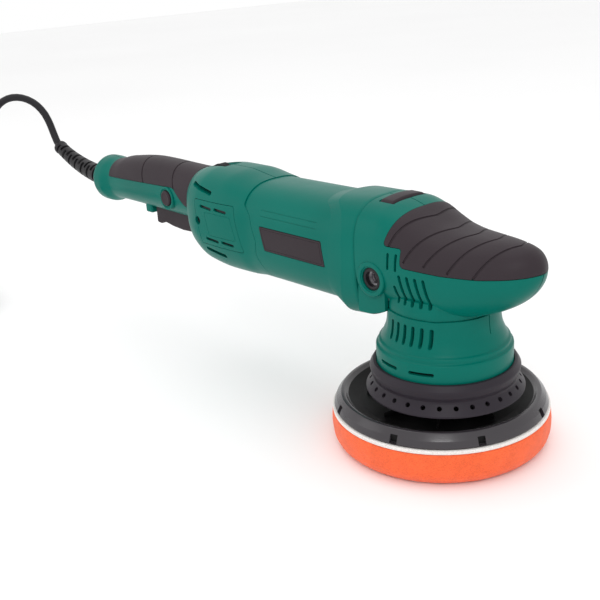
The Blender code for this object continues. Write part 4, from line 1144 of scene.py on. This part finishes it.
def build_boot():
    path = smooth_path(BOOT_ROUTE, 0.55)
    total = length_of(path)
    end_radius = smooth_through([0.0, 14.0, 40.0, 70.0, 90.0, total], [9.8, 9.8, 9.0, 7.9, 7.1, 6.6])

    def radius(share, angle):
        s = share * total
        outer = end_radius(s)
        if s < 12.0:
            return outer
        if s > total - 6.0:
            edge = (total - s) / 6.0
            return 6.3 + 0.9 * math.sin(math.pi * min(max(edge, 0.0), 1.0)) ** 0.6
        place = (s - 12.0) / 6.4
        number, part = int(place), place - int(place)
        if part < 0.5:
            return outer
        rail = abs(math.sin(angle)) if number % 2 else abs(math.cos(angle))
        wall = min(part - 0.5, 1.0 - part) / 0.08
        depth = min(max(wall, 0.0), 1.0) * (outer - 4.9)
        return outer if rail > 0.84 else outer - depth

    boot = tube("cord_sleeve", path, radius, sides=72)
    keep(boot, BLACK, "cord_boot", slot="cord_rubber", degrees=40)


def build_plug():
    outline = rounded([(0, 44.0), (15.4, 44.0), (17.2, 42.0), (17.2, 27.0), (12.4, 18.0), (7.4, 10.0),
        (6.0, 0.0), (0, 0.0)], [0, 1.5, 1.5, 4.0, 4.0, 4.0, 0.8, 0], 4)
    rows = []
    for r, h in outline:
        row = []
        for k in range(PLUG_STEPS):
            a = 2 * math.pi * k / PLUG_STEPS
            ribbed = 27.0 < h < 42.0 and r > 16 and k % 6 < 3
            reach = max(r - (0.5 if ribbed else 0.0), 0.05)
            row.append((PLUG_X + h, PLUG_Y + reach * math.cos(a), PLUG_Z + reach * math.sin(a)))
        rows.append(row)
    plug = grid_solid("mains_plug", rows)
    keep(plug, BLACK, "plug", slot="cord_rubber")
    pins = []
    for sign in (-1, 1):
        outline = rounded([(0.0, 42.0), (2.4, 42.0), (2.4, 63.0), (0.0, 63.0)], [0, 0, 1.6, 0], 4)
        pins.append(turned("pin", outline, (PLUG_X, PLUG_Y + 9.5 * sign, PLUG_Z), "X", 32))
    pins = merged("plug_pins", pins)
    keep(pins, STEEL)
    return plug, pins


def build_tie():
    x0, x1 = COIL_X + COIL_R - BUNDLE_HALF - 1.5, COIL_X + COIL_R + BUNDLE_HALF + 1.5
    z0, z1 = 0.5, 28.0
    outer = rounded([(x0, z0), (x1, z0), (x1, z1), (x0, z1)], 6.0, 6)
    cx, cz = (x0 + x1) / 2, (z0 + z1) / 2
    inner = [(cx + (x - cx) * (1 - TIE_WALL / abs(x1 - cx)), cz + (z - cz) * (1 - TIE_WALL / abs(z1 - cz)))
        for x, z in outer]
    rows = [[(x, COIL_Y + y, z) for x, z in line] for y, line in ((-TIE_HALF, outer), (TIE_HALF, outer),
        (TIE_HALF, inner), (-TIE_HALF, inner))]
    tie = grid_solid("coil_tie", rows, wrap=True)
    keep(tie, BLACK, "cord_tie", slot="cord_rubber")
    return tie


def build_cord():
    points = cord_line()
    curve = bpy.data.curves.new("mains_cord", "CURVE")
    curve.dimensions = "3D"
    curve.bevel_depth = CORD_D / 2 * MM
    curve.bevel_resolution = 5
    curve.use_fill_caps = True
    spline = curve.splines.new("POLY")
    spline.points.add(len(points) - 1)
    for point, place in zip(spline.points, points):
        point.co = (*(place * MM), 1.0)
    spline.use_smooth = True
    cord = bpy.data.objects.new("mains_cord", curve)
    bpy.context.scene.collection.objects.link(cord)
    curve.materials.append(CORD)
    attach(cord, "housing")
    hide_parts("cord_lead", "cord_coil", "cord_end")
    build_boot()
    plug, pins = build_plug()
    tie = build_tie()


# Floor and light.

FLOOR_HALF = 6.0  # metres


def build_stage():
    mesh = bpy.data.meshes.new("floor")
    corners = [(x * FLOOR_HALF, y * FLOOR_HALF, 0) for x, y in ((-1, -1), (1, -1), (1, 1), (-1, 1))]
    mesh.from_pydata(corners, [], [(0, 1, 2, 3)])
    floor = link("floor", mesh)
    look = Nodes("floor_paint")
    look.set("Base Color", look.ramp(look.noise(1.2, 2.0), 0.3, 0.7, (0.93, 0.93, 0.93), (0.95, 0.95, 0.95)))
    look.set("Roughness", 0.9)
    mesh.materials.append(look.material)

    world = bpy.data.worlds.new("studio")
    bpy.context.scene.world = world
    world.use_nodes = True
    background = world.node_tree.nodes["Background"]
    background.inputs["Color"].default_value = (1.0, 1.0, 1.0, 1)
    background.inputs["Strength"].default_value = 1.0


def add_light(name, at, aim, size, power):
    data = bpy.data.lights.new(name, "AREA")
    data.shape = "RECTANGLE"
    data.size, data.size_y = size
    data.energy = power
    obj = bpy.data.objects.new(name, data)
    bpy.context.scene.collection.objects.link(obj)
    obj.location = at
    obj.rotation_euler = (Vector(aim) - Vector(at)).to_track_quat("-Z", "Y").to_euler()


def build_lights():
    add_light("key", (0.8, -0.9, 1.1), (0, 0, 0.08), (0.5, 0.5), 4.5)
    add_light("top", (-0.4, 0.2, 1.7), (-0.15, 0, 0.1), (1.4, 0.9), 4.0)
    add_light("left", (-1.1, -1.1, 0.7), (-0.2, 0, 0.1), (0.7, 0.9), 1.5)
    bpy.context.scene.view_settings.view_transform = "Standard"


def main():
    build_cord()
    build_pad()
    build_plate()
    build_shroud()
    build_neck()
    build_nose_grip()
    build_head()
    build_motor_housing()
    build_rear_grip()
    build_rear_shells()
    build_controls()
    build_stage()
    build_lights()


main()
